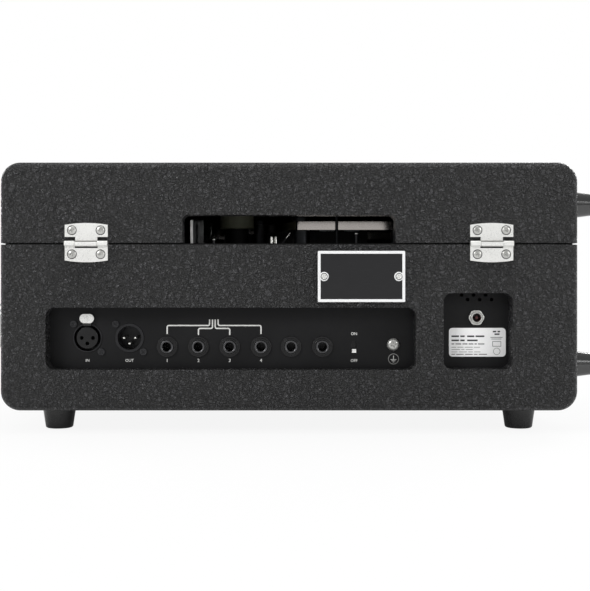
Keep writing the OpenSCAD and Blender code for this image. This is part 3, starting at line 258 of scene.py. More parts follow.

# %% [markdown]
# ## The vinyl covering
# The case is plywood under black leathercloth: a vinyl sheet embossed with wrinkles
# like those of hide, half a millimetre thick and a few millimetres long. An image of
# the grain would repeat, so the wrinkles are the ridges of a noise, over pebbles from a
# Voronoi pattern. The creases between the pebbles are painted near black and the tops
# lighter, a painted shade. The high spots are polished, and pale flecks over the vinyl
# are partly dust and partly painted glints. The folded edges of the case are rubbed
# lighter where it has been carried. The inside of the case is bare plywood sprayed
# black, so the grain stops at the rim.

# %% Vinyl covering
# Hide grain is nearer 2 mm, which would blur to one grey in the picture, so it is drawn coarser.
PEBBLE_MM = 3.6
FOLD_MM = 1.7
GRAIN_MM = 0.8
SWELL_MM = 7
DRIFT_MM = 9
RELIEF_MM = 1.1
vinyl, tree, shader, where = new_finish("embossed_leathercloth")
warp = add_node(tree, "ShaderNodeTexNoise", {"Vector": where, "Scale": 1 / (1.3 * PEBBLE_MM * MM), "Detail": 3})
drift = add_node(tree, "ShaderNodeVectorMath", {0: warp.outputs["Color"], 1: (DRIFT_MM * MM,) * 3},
                 operation="MULTIPLY")
moved = add_node(tree, "ShaderNodeVectorMath", {0: where, 1: drift.outputs[0]}, operation="ADD")
raised = []
for size_mm, slope in ((PEBBLE_MM, 0.3), (FOLD_MM, 0.35)):
    cells = add_node(tree, "ShaderNodeTexVoronoi", {"Vector": moved.outputs[0], "Scale": 1 / (size_mm * MM)},
                     feature="DISTANCE_TO_EDGE")
    raised.append(add_node(tree, "ShaderNodeMapRange", {"Value": cells.outputs["Distance"], "From Max": slope},
                           interpolation_type="SMOOTHSTEP").outputs[0])
domes, folds = raised
swell = add_node(tree, "ShaderNodeTexNoise", {"Vector": where, "Scale": 1 / (SWELL_MM * MM), "Detail": 2})
creases = add_node(tree, "ShaderNodeTexNoise", {"Vector": where, "Scale": 1 / (GRAIN_MM * MM), "Detail": 2})
height = domes
for layer, share in ((creases.outputs["Fac"], 0.12), (folds, 0.45), (swell.outputs["Fac"], 0.8)):
    embossed = height
    height = add_node(tree, "ShaderNodeMath", {0: layer, 1: share, 2: height}, operation="MULTIPLY_ADD").outputs[0]
# The creases between the pebbles are painted near black and the dome tops lighter: painted shade in the creases.
tone = add_node(tree, "ShaderNodeMix", {0: domes, 6: linear("#010101"), 7: linear("#2a2a2c")}, data_type="RGBA")
gloss = add_node(tree, "ShaderNodeMapRange", {"Value": embossed, "From Max": 1.4, "To Min": 0.4, "To Max": 0.13})
edge = add_node(tree, "ShaderNodeBevel", {"Radius": 0.9 * MM}, samples=4)
relief = add_node(tree, "ShaderNodeBump",
                  {"Height": height, "Strength": 1.0, "Distance": RELIEF_MM * MM, "Normal": edge.outputs[0]})
print("pebbles of", PEBBLE_MM, "mm with folds of", FOLD_MM, "mm")

# %% Wear, dust and painted glints on the vinyl
SCUFF_MM = 9
DUST_AND_GLINT_MM = 0.8
INSIDE_LOW = (-192, -127.8, 28.15)
INSIDE_HIGH = (192, 127.8, 182.55)
blotches = add_node(tree, "ShaderNodeTexNoise", {"Vector": where, "Scale": 1 / (SCUFF_MM * MM), "Detail": 7})
facing_out = tree.nodes["Texture Coordinate"].outputs["Normal"]
turned_to = add_node(tree, "ShaderNodeVectorMath", {0: facing_out}, operation="ABSOLUTE")
axes = add_node(tree, "ShaderNodeSeparateXYZ", {0: turned_to.outputs[0]})
widest = add_node(tree, "ShaderNodeMath", {0: axes.outputs[0], 1: axes.outputs[1]}, operation="MAXIMUM")
flattest = add_node(tree, "ShaderNodeMath", {0: widest.outputs[0], 1: axes.outputs[2]}, operation="MAXIMUM")
on_edge = add_node(tree, "ShaderNodeMapRange", {"Value": flattest.outputs[0], "From Min": 0.99, "From Max": 0.72})
rubbed = add_node(tree, "ShaderNodeMath", {0: on_edge.outputs[0], 1: blotches.outputs["Fac"]}, operation="MULTIPLY")
rubbed_more = add_node(tree, "ShaderNodeMapRange",
                       {"Value": rubbed.outputs[0], "From Min": 0.3, "From Max": 0.8, "To Max": 0.7})
# The pale flecks from this noise are partly dust and partly painted glints on the grain.
dust_and_glint_noise = add_node(tree, "ShaderNodeTexNoise", {"Vector": where, "Scale": 1 / (DUST_AND_GLINT_MM * MM), "Detail": 2})
dust_and_glint_specks = add_node(tree, "ShaderNodeMapRange",
                  {"Value": dust_and_glint_noise.outputs["Fac"], "From Min": 0.7, "From Max": 0.78, "To Max": 0.6})
skin = tone
for amount, code in ((rubbed_more.outputs[0], "#505052"), (dust_and_glint_specks.outputs[0], "#77777a"),
                     (inside_box(tree, where, INSIDE_LOW, INSIDE_HIGH), "#0c0c0c")):
    skin = add_node(tree, "ShaderNodeMix", {0: amount, 6: skin.outputs[2], 7: linear(code)}, data_type="RGBA")
feed(tree, shader, {"Base Color": skin.outputs[2], "Roughness": gloss.outputs[0], "Normal": relief.outputs[0],
                    "Specular IOR Level": 0.5})
FINISHES["case_vinyl"] = vinyl
print("wear and dust added")

# %% [markdown]
# ## The badge
# The badge is a small aluminium plate: its raised rim and screw seats were wiped clean
# and shine, and the sunk field was filled with dark lacquer. One finish does both, by
# the height above the case at which the lacquer stops.

# %% Badge finish
LACQUER_TOP_MM = CASE_BACK + 1.1
BRUSH_MM = 0.3
badge, tree, shader, where = new_finish("lacquered_badge_aluminium")
depth = add_node(tree, "ShaderNodeSeparateXYZ", {0: where})
rim = add_node(tree, "ShaderNodeMath", {0: depth.outputs[1], 1: LACQUER_TOP_MM * MM}, operation="GREATER_THAN")
lines = add_node(tree, "ShaderNodeMapping", {"Vector": where, "Scale": (0.03, 1, 1)})
brush = add_node(tree, "ShaderNodeTexNoise",
                 {"Vector": lines.outputs[0], "Scale": 1 / (BRUSH_MM * MM), "Detail": 4})
field, clean = [add_node(tree, "ShaderNodeMix", {0: brush.outputs["Fac"], 6: linear(dark), 7: linear(light)},
                         data_type="RGBA").outputs[2]
                for dark, light in (("#161617", "#262628"), ("#f0f1f2", "#ffffff"))]
colour = add_node(tree, "ShaderNodeMix", {0: rim.outputs[0], 6: field, 7: clean}, data_type="RGBA")
metal = add_node(tree, "ShaderNodeMath", {0: rim.outputs[0], 1: 0.35}, operation="MULTIPLY")
gloss = add_node(tree, "ShaderNodeMapRange", {"Value": brush.outputs["Fac"], "To Min": 0.3, "To Max": 0.48})
edge = add_node(tree, "ShaderNodeBevel", {"Radius": 0.25 * MM}, samples=4)
bump = add_node(tree, "ShaderNodeBump",
                {"Height": brush.outputs["Fac"], "Distance": 0.004 * MM, "Normal": edge.outputs[0]})
feed(tree, shader, {"Base Color": colour.outputs[2], "Metallic": metal.outputs[0], "Roughness": gloss.outputs[0],
                    "Normal": bump.outputs[0], "Specular IOR Level": 0.3})
FINISHES["badge_metal"] = badge
print("lacquer up to", LACQUER_TOP_MM, "mm")

# %% [markdown]
# ## Clear acrylic
# The tape bin, its cover and the meter's window are acrylic, a hard plastic with an
# index of refraction of 1.49. Fine scratches dull it a little, and a faint tint in its
# body shows at the sawn edges. The bin and its cover are tinted darker, a painted shade
# for the dark inside of the case.

# %% Clear acrylic
clear, tree, shader, where = new_finish("clear_acrylic")
haze = add_node(tree, "ShaderNodeTexNoise", {"Vector": where, "Scale": 1 / (6 * MM), "Detail": 8})
gloss = add_node(tree, "ShaderNodeMapRange", {"Value": haze.outputs["Fac"], "To Min": 0.02, "To Max": 0.16})
feed(tree, shader, {"Base Color": linear("#eef4f4"), "Roughness": gloss.outputs[0], "IOR": 1.49,
                    "Specular IOR Level": 0.15, "Transmission Weight": 1.0})
FINISHES["clear_plastic"] = clear
# A darker tint on the bin and its cover: painted shade for the inside of the case.
shade_tinted = clear.copy()
shade_tinted.name = "shade_tinted_acrylic"
shade_tinted.node_tree.nodes["Principled BSDF"].inputs["Base Color"].default_value = linear("#74797a")
print("acrylic ready")

# %% [markdown]
# ## Every CAD node gets its finish
# The record names a material slot for each node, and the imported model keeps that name
# on the node's own material. So the finishes are handed out by slot, and only the few
# nodes that look unlike the rest of their slot are named.

# %% Hand out the finishes
for name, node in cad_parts.items():
    for holder in node.material_slots:
        holder.material = FINISHES[holder.material.name.split(".")[0]]
SPECIAL = {"hinge_lid_leaves": HINGE_LEAF, "hinge_base_leaves": HINGE_PLATE, "hinge_pins": HINGE_PLATE,
           "side_feet_base": SIDE_FOOT, "side_feet_lid": SIDE_FOOT, "dc_jack": SOCKET_RED,
           "tape_bin": shade_tinted, "bin_cover": shade_tinted}
for name, finish in SPECIAL.items():
    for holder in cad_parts[name].material_slots:
        holder.material = finish
print("finishes on", len(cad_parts), "nodes")

# %% [markdown]
# ## Floor, light and background
# The photograph is a cut-out on white. A white floor and a white world would wash the
# black case out, so the world is full white only where the camera or a clear part sees
# it, a share of that in reflections, and softer for the light it gives. Softboxes stand
# round the object on both sides, the strongest at the upper left of the back, where the
# photograph's soft shadows come from.

# %% Floor and background
GLOSS_SHARE = 0.15
WORLD_LIGHT = 0.42
SHADOW_NEAR_M = 0.25
SHADOW_FAR_M = 0.6
SHADOW_SHARE = 0.9


def seen_directly(tree):
    """1 where the camera or a clear part looks, a share of it in reflections, and 0 for scattered light."""
    rays = add_node(tree, "ShaderNodeLightPath")
    glossy = add_node(tree, "ShaderNodeMath", {0: rays.outputs["Is Glossy Ray"], 1: GLOSS_SHARE}, operation="MULTIPLY")
    shiny = add_node(tree, "ShaderNodeMath", {0: rays.outputs["Is Camera Ray"], 1: glossy.outputs[0]},
                     operation="MAXIMUM")
    return add_node(tree, "ShaderNodeMath", {0: shiny.outputs[0], 1: rays.outputs["Is Transmission Ray"]},
                    operation="MAXIMUM").outputs[0]


world = bpy.data.worlds.new("studio")
world.use_nodes = True
bpy.context.scene.world = world
strength = add_node(world.node_tree, "ShaderNodeMapRange",
                    {"Value": seen_directly(world.node_tree), "To Min": WORLD_LIGHT, "To Max": 1.0})
background = world.node_tree.nodes["Background"]
background.inputs["Color"].default_value = (1, 1, 1, 1)
world.node_tree.links.new(strength.outputs[0], background.inputs["Strength"])

bpy.ops.object.select_all(action="DESELECT")
bpy.ops.mesh.primitive_plane_add(size=8)
floor = bpy.context.object
floor.name = "studio_floor"
paper, tree, shader, where = new_finish("white_background_paper")
shader.inputs["Base Color"].default_value = linear("#ededed")
shader.inputs["Roughness"].default_value = 0.9
glow = add_node(tree, "ShaderNodeEmission", {"Color": (1, 1, 1, 1), "Strength": 1.0})
away = add_node(tree, "ShaderNodeVectorMath", {0: where}, operation="LENGTH")
fade = add_node(tree, "ShaderNodeMapRange",
                {"Value": away.outputs["Value"], "From Min": SHADOW_NEAR_M, "From Max": SHADOW_FAR_M,
                 "To Min": SHADOW_SHARE})
share = add_node(tree, "ShaderNodeMath", {0: seen_directly(tree), 1: fade.outputs[0]}, operation="MULTIPLY")
mixed = add_node(tree, "ShaderNodeMixShader", {0: share.outputs[0], 1: shader.outputs[0], 2: glow.outputs[0]})
tree.links.new(mixed.outputs[0], tree.nodes["Material Output"].inputs["Surface"])
floor.data.materials.append(paper)
print("the floor keeps", round(1 - SHADOW_SHARE, 2), "of its shade near the case")


# %% Softboxes
def softbox(name, place, size, watts):
    """A square soft light at place, in metres, aimed at the middle of the case."""
    lamp = bpy.data.lights.new(name, "AREA")
    lamp.size = size
    lamp.energy = watts
    holder = bpy.data.objects.new(name, lamp)
    holder.location = place
    holder.rotation_euler = (Vector((0, 0, 0.11)) - Vector(place)).to_track_quat("-Z", "Y").to_euler()
    bpy.context.scene.collection.objects.link(holder)


SOFTBOXES = {"key_rear": ((1.15, 1.35, 0.95), 0.55, 15), "fill_rear": ((-1.3, 1.2, 0.6), 0.6, 7),
             "key_front": ((-1.15, -1.35, 0.95), 0.55, 15), "fill_front": ((1.3, -1.2, 0.6), 0.6, 7),
             "overhead": ((0, 0, 1.6), 1.3, 13)}
for name, (place, size, watts) in SOFTBOXES.items():
    softbox(name, place, size, watts)
print(len(SOFTBOXES), "softboxes")

# %% [markdown]
# ## Making pieces
# The pieces below are modelled in millimetres, the way a drawing gives them, and turned
# into metres once at the end. Each starts from one of Blender's primitives in edit
# mode. A piece that a lathe would turn, such as a knob or a screw head, is a disc
# raised ring by ring.

# %% Helpers for pieces
def start(name, add, **how):
    """A new piece from a primitive, left in edit mode."""
    bpy.ops.object.select_all(action="DESELECT")
    add(**how)
    bpy.ops.object.transform_apply(location=True, rotation=True, scale=True)
    piece = bpy.context.object
    piece.name = name
    bpy.ops.object.mode_set(mode="EDIT")
    return piece


def pick(piece, test, mode="FACE"):
    """Selects the faces, edges or vertices whose middle passes the test."""
    bpy.ops.mesh.select_mode(type=mode)
    bpy.ops.mesh.select_all(action="DESELECT")
    mesh = bmesh.from_edit_mesh(piece.data)
    for part in {"FACE": mesh.faces, "EDGE": mesh.edges, "VERT": mesh.verts}[mode]:
        corners = [part.co] if mode == "VERT" else [v.co for v in part.verts]
        part.select_set(bool(test(sum(corners, Vector()) / len(corners))))
    mesh.select_flush_mode()
    bmesh.update_edit_mesh(piece.data)


def turned(name, rings, sides=48):
    """A lathe piece along +Z: a disc raised through (radius, height) rings."""
    radius, height = rings[0]
    piece = start(name, bpy.ops.mesh.primitive_circle_add, vertices=sides, radius=radius,
                  fill_type="NGON", location=(0, 0, height))
    for next_radius, next_height in rings[1:]:
        bpy.ops.mesh.extrude_region_move(TRANSFORM_OT_translate={"value": (0, 0, next_height - height)})
        factor = next_radius / radius
        bpy.ops.transform.resize(value=(factor, factor, 1), center_override=(0, 0, next_height))
        radius, height = next_radius, next_height
    return piece


def paint(piece, finish):
    """Leaves edit mode with the normals pointing out, and gives the piece a finish."""
    bpy.ops.mesh.select_all(action="SELECT")
    bpy.ops.mesh.normals_make_consistent(inside=False)
    bpy.ops.object.mode_set(mode="OBJECT")
    piece.data.materials.clear()
    piece.data.materials.append(finish)
    return piece


def join(name, pieces):
    """One piece from several, each with its own finish."""
    bpy.ops.object.select_all(action="DESELECT")
    for piece in pieces:
        piece.select_set(True)
    bpy.context.view_layer.objects.active = pieces[0]
    if len(pieces) > 1:
        bpy.ops.object.join()
    pieces[0].name = name
    return pieces[0]


def copies(name, piece, places, turn=(0, 0, 0)):
    """Copies a piece to each place, turned by degrees about X, Y and Z first, and uses it up."""
    stand = Euler([math.radians(angle) for angle in turn]).to_matrix().to_4x4()
    twins = []
    for place in places:
        twin = bpy.data.objects.new(name, piece.data.copy())
        bpy.context.scene.collection.objects.link(twin)
        twin.data.transform(Matrix.Translation(place) @ stand)
        twins.append(twin)
    bpy.data.objects.remove(piece)
    return join(name, twins)


def settle(piece, body, smooth=30):
    """Turns millimetres into metres, smooths the piece and hands it to its body."""
    bpy.ops.object.select_all(action="DESELECT")
    piece.select_set(True)
    bpy.context.view_layer.objects.active = piece
    piece.scale = (MM, MM, MM)
    bpy.ops.object.transform_apply(location=True, rotation=True, scale=True)
    bpy.ops.object.shade_smooth_by_angle(angle=math.radians(smooth))
    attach(piece, body)
    print(piece.name, "on", body, "with", len(piece.data.polygons), "faces")
    return piece


print("piece helpers ready")

# %% [markdown]
# ## The carrying handle
# The handle is a moulded vinyl strap over a steel band, bowed out from the case and
# held at both ends under plated caps. The CAD frame has only its space. Here a rounded
# section is drawn out flat along its length, each short stretch of the grip gets a
# raised rib for the fingers, and then every point is wrapped onto the bow.

# %% Handle strap
BOW_CENTRE_X = -81.34
BOW_INNER_R = 300.04
BOW_MIDDLE_R = BOW_INNER_R + 3.5
HALF_SPAN = 85
END_TAB = 13.5
STRAP_THICK = 6.4
STRAP_WIDE = 26
WALL_X = 206.8
HANDLE_Z = 76.15
STRETCHES = 66

bow_half_length = math.asin(HALF_SPAN / BOW_MIDDLE_R) * BOW_MIDDLE_R
strap_half_length = bow_half_length + END_TAB
step = 2 * strap_half_length / STRETCHES
strap = start("carrying_strap", bpy.ops.mesh.primitive_plane_add, size=1,
              location=(0, -strap_half_length, 0), rotation=(math.radians(90), 0, 0))
bpy.ops.transform.resize(value=(STRAP_THICK, 1, STRAP_WIDE))
bpy.ops.mesh.bevel(offset=2.2, segments=4, affect="VERTICES")
for stretch in range(STRETCHES):
    bpy.ops.mesh.extrude_region_move(TRANSFORM_OT_translate={"value": (0, step, 0)})
pick(strap, lambda at: at.x > 3.1 and abs(at.z) < 9 and abs(at.y) < 70)
bpy.ops.mesh.inset(thickness=0.55, depth=0.55, use_individual=True)
pick(strap, lambda at: at.x < -3.1 and abs(at.z) < 9 and abs(at.y) < 70)
bpy.ops.mesh.inset(thickness=0.9, depth=-0.5, use_individual=True)
paint(strap, FINISHES["handle_leather"])
for vertex in strap.data.vertices:
    out, along, up = vertex.co.x + STRAP_THICK / 2, vertex.co.y, vertex.co.z + HANDLE_Z
    if abs(along) < bow_half_length:
        turn = along / BOW_MIDDLE_R
        radius = BOW_INNER_R + out
        vertex.co = (BOW_CENTRE_X + radius * math.cos(turn), radius * math.sin(turn), up)
    else:
        flat = HALF_SPAN + abs(along) - bow_half_length
        vertex.co = (WALL_X + out, math.copysign(flat, along), up)
settle(strap, "base", 35)
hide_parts("handle_strap")

# %% [markdown]
# ## The gasket in the seam
# A foam strip lies on the rim of the base and stops light and dust at the seam. It is a
# ring pressed out of sheet: a rectangle with rounded corners, its middle removed by an
# inset, and raised to its thickness, a fifth of a millimetre short of the lid.

# %% Gasket
RIM_Z = 135.32
GASKET_SIZE = (411, 282.6)
GASKET_WIDE = 10
GASKET_THICK = 0.95
gasket = start("seam_gasket", bpy.ops.mesh.primitive_plane_add, size=1, location=(0, 0, RIM_Z))
bpy.ops.transform.resize(value=(*GASKET_SIZE, 1), center_override=(0, 0, RIM_Z))
bpy.ops.mesh.bevel(offset=12.8, segments=8, affect="VERTICES")
bpy.ops.mesh.inset(thickness=GASKET_WIDE)
pick(gasket, lambda at: abs(at.x) < 1 and abs(at.y) < 1)
bpy.ops.mesh.delete(type="FACE")
bpy.ops.mesh.select_all(action="SELECT")
bpy.ops.mesh.extrude_region_move(TRANSFORM_OT_translate={"value": (0, 0, GASKET_THICK)})
bpy.ops.mesh.bevel(offset=0.2, segments=2)
paint(gasket, FOAM)
settle(gasket, "base")

# %% [markdown]
# ## Screws with domed heads
# The hinge screws and the ground screw are the brightest small things on the back, and
# their highlights come from their domes. A flat head would reflect one tone. Each is
# turned on a lathe from its tip to the top of its dome, and the cross recess is cut by
# two crossed bars with a Boolean modifier. The CAD screws that they stand for stay in
# the physics. The badge's screws only get a bright cap over the CAD head.

# %% A screw with a domed head and a cross recess
def cross_screw(name, rings, arm, width, depth, finish):
    """A turned screw along +Z whose top gets a cross recess with arms of a given length."""
    screw = paint(turned(name, rings, 40), finish)
    top = rings[-1][1]
    for size in ((arm, width), (width, arm)):
        bar = start(name + "_bar", bpy.ops.mesh.primitive_cube_add, size=1, location=(0, 0, top))
        bpy.ops.transform.resize(value=(size[0], size[1], 2 * depth), center_override=(0, 0, top))
        bpy.ops.mesh.bevel(offset=width * 0.25, segments=2)
        paint(bar, finish)
        bpy.ops.object.select_all(action="DESELECT")
        screw.select_set(True)
        bpy.context.view_layer.objects.active = screw
        cut = screw.modifiers.new("recess", "BOOLEAN")
        cut.object = bar
        cut.solver = "EXACT"
        bpy.ops.object.modifier_apply(modifier=cut.name)
        bpy.data.objects.remove(bar)
    return screw


print("cross recess ready")

# %% The hinge screws over painted shadow rings
HINGE_SCREW = [(0.9, -13.2), (1.5, -12), (1.5, 0), (3, 0.02), (2.97, 0.2), (2.7, 0.5), (2.2, 0.75), (1.5, 0.92),
               (0.7, 1.0)]
# A thin dark ring under each hinge screw's head is a painted shadow round the dome.
SHADOW_RING = [(3.45, 0.0), (3.45, 0.05), (3.0, 0.08)]
LEAF_FACE_Y = 143.7
HINGES_X = (-144.4, 144.4)
HOLE_X = 10.2
for name, z, body, node in (("hinge_screws_lid", 145.4, "lid", "hinge_lid_screws"),
                            ("hinge_screws_base", 128.3, "base", "hinge_base_screws")):
    screw = cross_screw(name, HINGE_SCREW, 3.2, 0.7, 0.8, SCREW_PLATE)
    shadow_ring = paint(turned("screw_shadow_ring", SHADOW_RING, 40), FINISHES["screw_black"])
    screw = join(name, [screw, shadow_ring])
    places = [(hinge + side * HOLE_X, LEAF_FACE_Y, z) for hinge in HINGES_X for side in (-1, 1)]
    screws = copies(name, screw, places, (-90, 25, 0))
    settle(screws, body)
    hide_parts(node)

# %% Bright caps over the badge's screws
BADGE_SCREW = [(2.2, -0.1), (2.5, 0), (2.5, 0.5), (2.25, 0.95), (1.6, 1.22), (0.7, 1.32)]
BADGE_SCREWS_X = (-25.0, -78.2)
BADGE_SEAT_Y = CASE_BACK + 1.52
BADGE_Z = 112.5
cap = cross_screw("badge_screws", BADGE_SCREW, 2.9, 0.6, 0.3, HINGE_PLATE)
caps = copies("badge_screws", cap, [(x, BADGE_SEAT_Y, BADGE_Z) for x in BADGE_SCREWS_X], (-90, 35, 0))
settle(caps, "base")

# %% The ground screw over its washer
REAR_FACE_Y = 127.5
FRONT_FACE_Y = -127.5
GROUND_POST = (-75.7, REAR_FACE_Y, 63.2)
WASHER = [(2.1, 0), (4.5, 0.02), (4.5, 0.7), (4.25, 1.0), (2.1, 1.0)]
GROUND_SCREW = [(2, -11), (2, 1.0), (4.3, 1.02), (4.3, 1.7), (4.05, 2.3), (3.4, 2.9), (2.4, 3.25), (1.2, 3.4)]
washer = paint(turned("ground_washer", WASHER), SCREW_PLATE)
ground_screw = cross_screw("ground_screw", GROUND_SCREW, 4.6, 1.1, 1.5, SCREW_PLATE)
ground = join("ground_screw", [ground_screw, washer])
ground = copies("ground_screw", ground, [GROUND_POST], (-90, 20, 0))
settle(ground, "base")
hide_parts("ground_terminal")

# %% [markdown]
# ## The rims of the jack sockets
# Each jack has a threaded bush of blackened metal. Its rim is turned smooth and catches
# the light as a soft crescent, and deep inside it a dark contact spring shows. These
# small rings sit on the CAD bushes. The power socket gets a brighter rim of its own.

# %% Jack rims and contacts
BUSH_METAL = coated("blackened_bush_metal", "#434344", "#626264", 0.26, 4, 0.3, 0.002, 0.2, 0.9)
JACK_Z = 61.6
JACKS_X = (88.6, 65.85, 43.1, 20.35, -1.5, -24.25)
INPUTS_Z = 57.9
INPUTS_X = (-152, -124, -96)
BUSH_PROUD = 3.45
RIM = [(3.35, -0.5), (3.35, 0.0), (3.7, 0.25), (4.2, 0.3), (4.6, 0.15), (4.85, -0.25), (4.85, -0.5)]
rim = turned("jack_rim", RIM)
pick(rim, lambda at: abs(at.z + 0.5) < 0.01)
bpy.ops.mesh.delete(type="FACE")
paint(rim, BUSH_METAL)
spring = start("jack_contact", bpy.ops.mesh.primitive_plane_add, size=1, location=(2.2, 0, -9))
bpy.ops.transform.resize(value=(1.4, 2.2, 1))
bpy.ops.mesh.extrude_region_move(TRANSFORM_OT_translate={"value": (0, 0, 0.5)})
bpy.ops.mesh.bevel(offset=0.2, segments=2)
paint(spring, FINISHES["zinc"])
jack = join("jack_rim", [rim, spring])
print("one jack rim has", len(jack.data.polygons), "faces")

# %% Place the rims at the back and at the front
front_jack = bpy.data.objects.new("front_jack", jack.data.copy())
bpy.context.scene.collection.objects.link(front_jack)
back_rims = copies("jack_rims_rear", jack, [(x, REAR_FACE_Y + BUSH_PROUD, JACK_Z) for x in JACKS_X], (-90, 0, 0))
settle(back_rims, "base")
front_places = [(x, FRONT_FACE_Y - BUSH_PROUD, INPUTS_Z) for x in INPUTS_X]
front_rims = copies("jack_rims_front", front_jack, front_places, (90, 0, 0))
settle(front_rims, "base")

# %% The plated rim of the power socket
POWER_SOCKET = (-135.95, 131.15, 82.8)
POWER_RIM = [(3.05, -0.35), (3.05, 0.1), (3.3, 0.35), (3.95, 0.35), (4.3, 0.05), (4.3, -0.35)]
power_rim = turned("power_rim", POWER_RIM)
pick(power_rim, lambda at: abs(at.z + 0.35) < 0.01)
bpy.ops.mesh.delete(type="FACE")
bpy.ops.mesh.select_all(action="SELECT")
paint(power_rim, SCREW_PLATE)
settle(copies("power_rim", power_rim, [POWER_SOCKET], (-90, 0, 0)), "base")

# %% [markdown]
# ## Printing on the panels
# The panels are screen printed: a film of ink a few hundredths of a millimetre thick.
# Paint in the panel's finish could carry the marks, but they would need a drawing of
# each. Here each mark is a thin mesh just proud of the enamel. Letters come from
# Blender's own text, and lines from a curve with a round section that is pressed flat.

# %% Helpers for print
INK_MM = 0.04


def letters(words, size, x, z, y=REAR_FACE_Y, ink=INK):
    """Printed words standing on the panel at Y, centred on (X, Z), as a mesh."""
    bpy.ops.object.select_all(action="DESELECT")
    bpy.ops.object.text_add()
    text = bpy.context.object
    text.data.body = words
    text.data.size = size
    text.data.align_x = "CENTER"
    text.data.align_y = "CENTER"
    text.data.extrude = INK_MM
    text.data.offset = size * 0.012
    text.data.resolution_u = 3
    bpy.ops.object.convert(target="MESH")
    text.data.transform(Matrix.Translation((x, y, z)) @ facing(y))
    text.data.materials.append(ink)
    return text


def facing(y):
    """Turns a mark drawn flat in X and Y to stand on the panel at y and face out."""
    spin = Matrix.Rotation(math.pi, 4, "Z") if y > 0 else Matrix.Identity(4)
    return spin @ Matrix.Rotation(math.radians(90), 4, "X")


def stroke(points, width, y=REAR_FACE_Y, ink=INK, closed=False):
    """A printed line of one width through (X, Z) points on the panel at Y."""
    path = bpy.data.curves.new("stroke", "CURVE")
    path.dimensions = "3D"
    path.bevel_depth = width / 2
    path.bevel_resolution = 1
    path.use_fill_caps = True
    spline = path.splines.new("POLY")
    spline.points.add(len(points) - 1)
    for point, (x, z) in zip(spline.points, points):
        point.co = (x, 0, z, 1)
    spline.use_cyclic_u = closed
    line = bpy.data.objects.new("stroke", path)
    bpy.context.scene.collection.objects.link(line)
    bpy.ops.object.select_all(action="DESELECT")
    line.select_set(True)
    bpy.context.view_layer.objects.active = line
    bpy.ops.object.convert(target="MESH")
    press = Matrix.Diagonal((1, 2 * INK_MM / width, 1, 1))
    line.data.transform(Matrix.Translation((0, y, 0)) @ press)
    line.data.materials.append(ink)
    return line


def ring(x, z, radius, start_deg=0, end_deg=360, steps=48):
    """Points of an arc round (x, z), measured clockwise from the top as seen from the front."""
    turns = [math.radians(start_deg + (end_deg - start_deg) * i / steps) for i in range(steps + 1)]
    return [(x + radius * math.sin(t), z + radius * math.cos(t)) for t in turns]


def bent(corners, radius=2.2, steps=5):
    """The same line with each corner rounded."""
    points = [corners[0]]
    for before, corner, after in zip(corners, corners[1:], corners[2:]):
        corner = Vector(corner)
        into = (corner - Vector(before)).normalized()
        away = (Vector(after) - corner).normalized()
        for i in range(steps + 1):
            t = i / steps
            first, last = corner - into * radius, corner + away * radius
            points.append(tuple(first * (1 - t) ** 2 + corner * 2 * t * (1 - t) + last * t ** 2))
    return points + [corners[-1]]


print("ink is", 2 * INK_MM, "mm thick")

# %% [markdown]
# ## The rear panel's marks
# A bracket joins the four head outputs, which are numbered, and the in and out sockets,
# the switch and the earth post have their usual marks. Each line of the bracket is one
# stroke with its corners rounded, as a plotter would draw it.

# %% Rear panel print
marks = []
CAPTION_Z = 51.5
TRUNKS_X = (57.75, 55.64, 53.67, 51.57)
TRUNK_TOP_Z = 81.4
BRACKET = zip(TRUNKS_X, JACKS_X[:4], (77.0, 74.9, 74.9, 77.0), (70.8, 70.1, 70.1, 70.8))
for trunk, jack_x, level, foot in BRACKET:
    marks.append(stroke(bent([(trunk, TRUNK_TOP_Z), (trunk, level), (jack_x, level), (jack_x, foot)], 1.4), 0.95))
for number, jack_x in enumerate(JACKS_X[:4]):
    marks.append(letters(str(number + 1), 3.3, jack_x, CAPTION_Z))
for words, x, z in (("IN", 146.5, CAPTION_Z), ("OUT", 116.0, CAPTION_Z), ("ON", -47.3, 70.9), ("OFF", -47.3, 51.4)):
    marks.append(letters(words, 2.9, x, z))
EARTH = (-76.0, 52.7)
marks.append(stroke(ring(*EARTH, 3.7), 0.5, ink=GREY_INK))
marks.append(stroke([(EARTH[0], EARTH[1] + 2.4), (EARTH[0], EARTH[1] - 0.4)], 0.45, ink=INK))
for half, drop in ((2.1, 0.4), (1.35, 1.3), (0.6, 2.2)):
    marks.append(stroke([(EARTH[0] - half, EARTH[1] - drop), (EARTH[0] + half, EARTH[1] - drop)], 0.45, ink=INK))
settle(join("rear_panel_print", marks), "base")

# %% [markdown]
# ## The rating label
# The label is white foil, printed small. Rows of dashes, a thin box and a ring have the
# weight of small print from a step away, and say nothing up close.

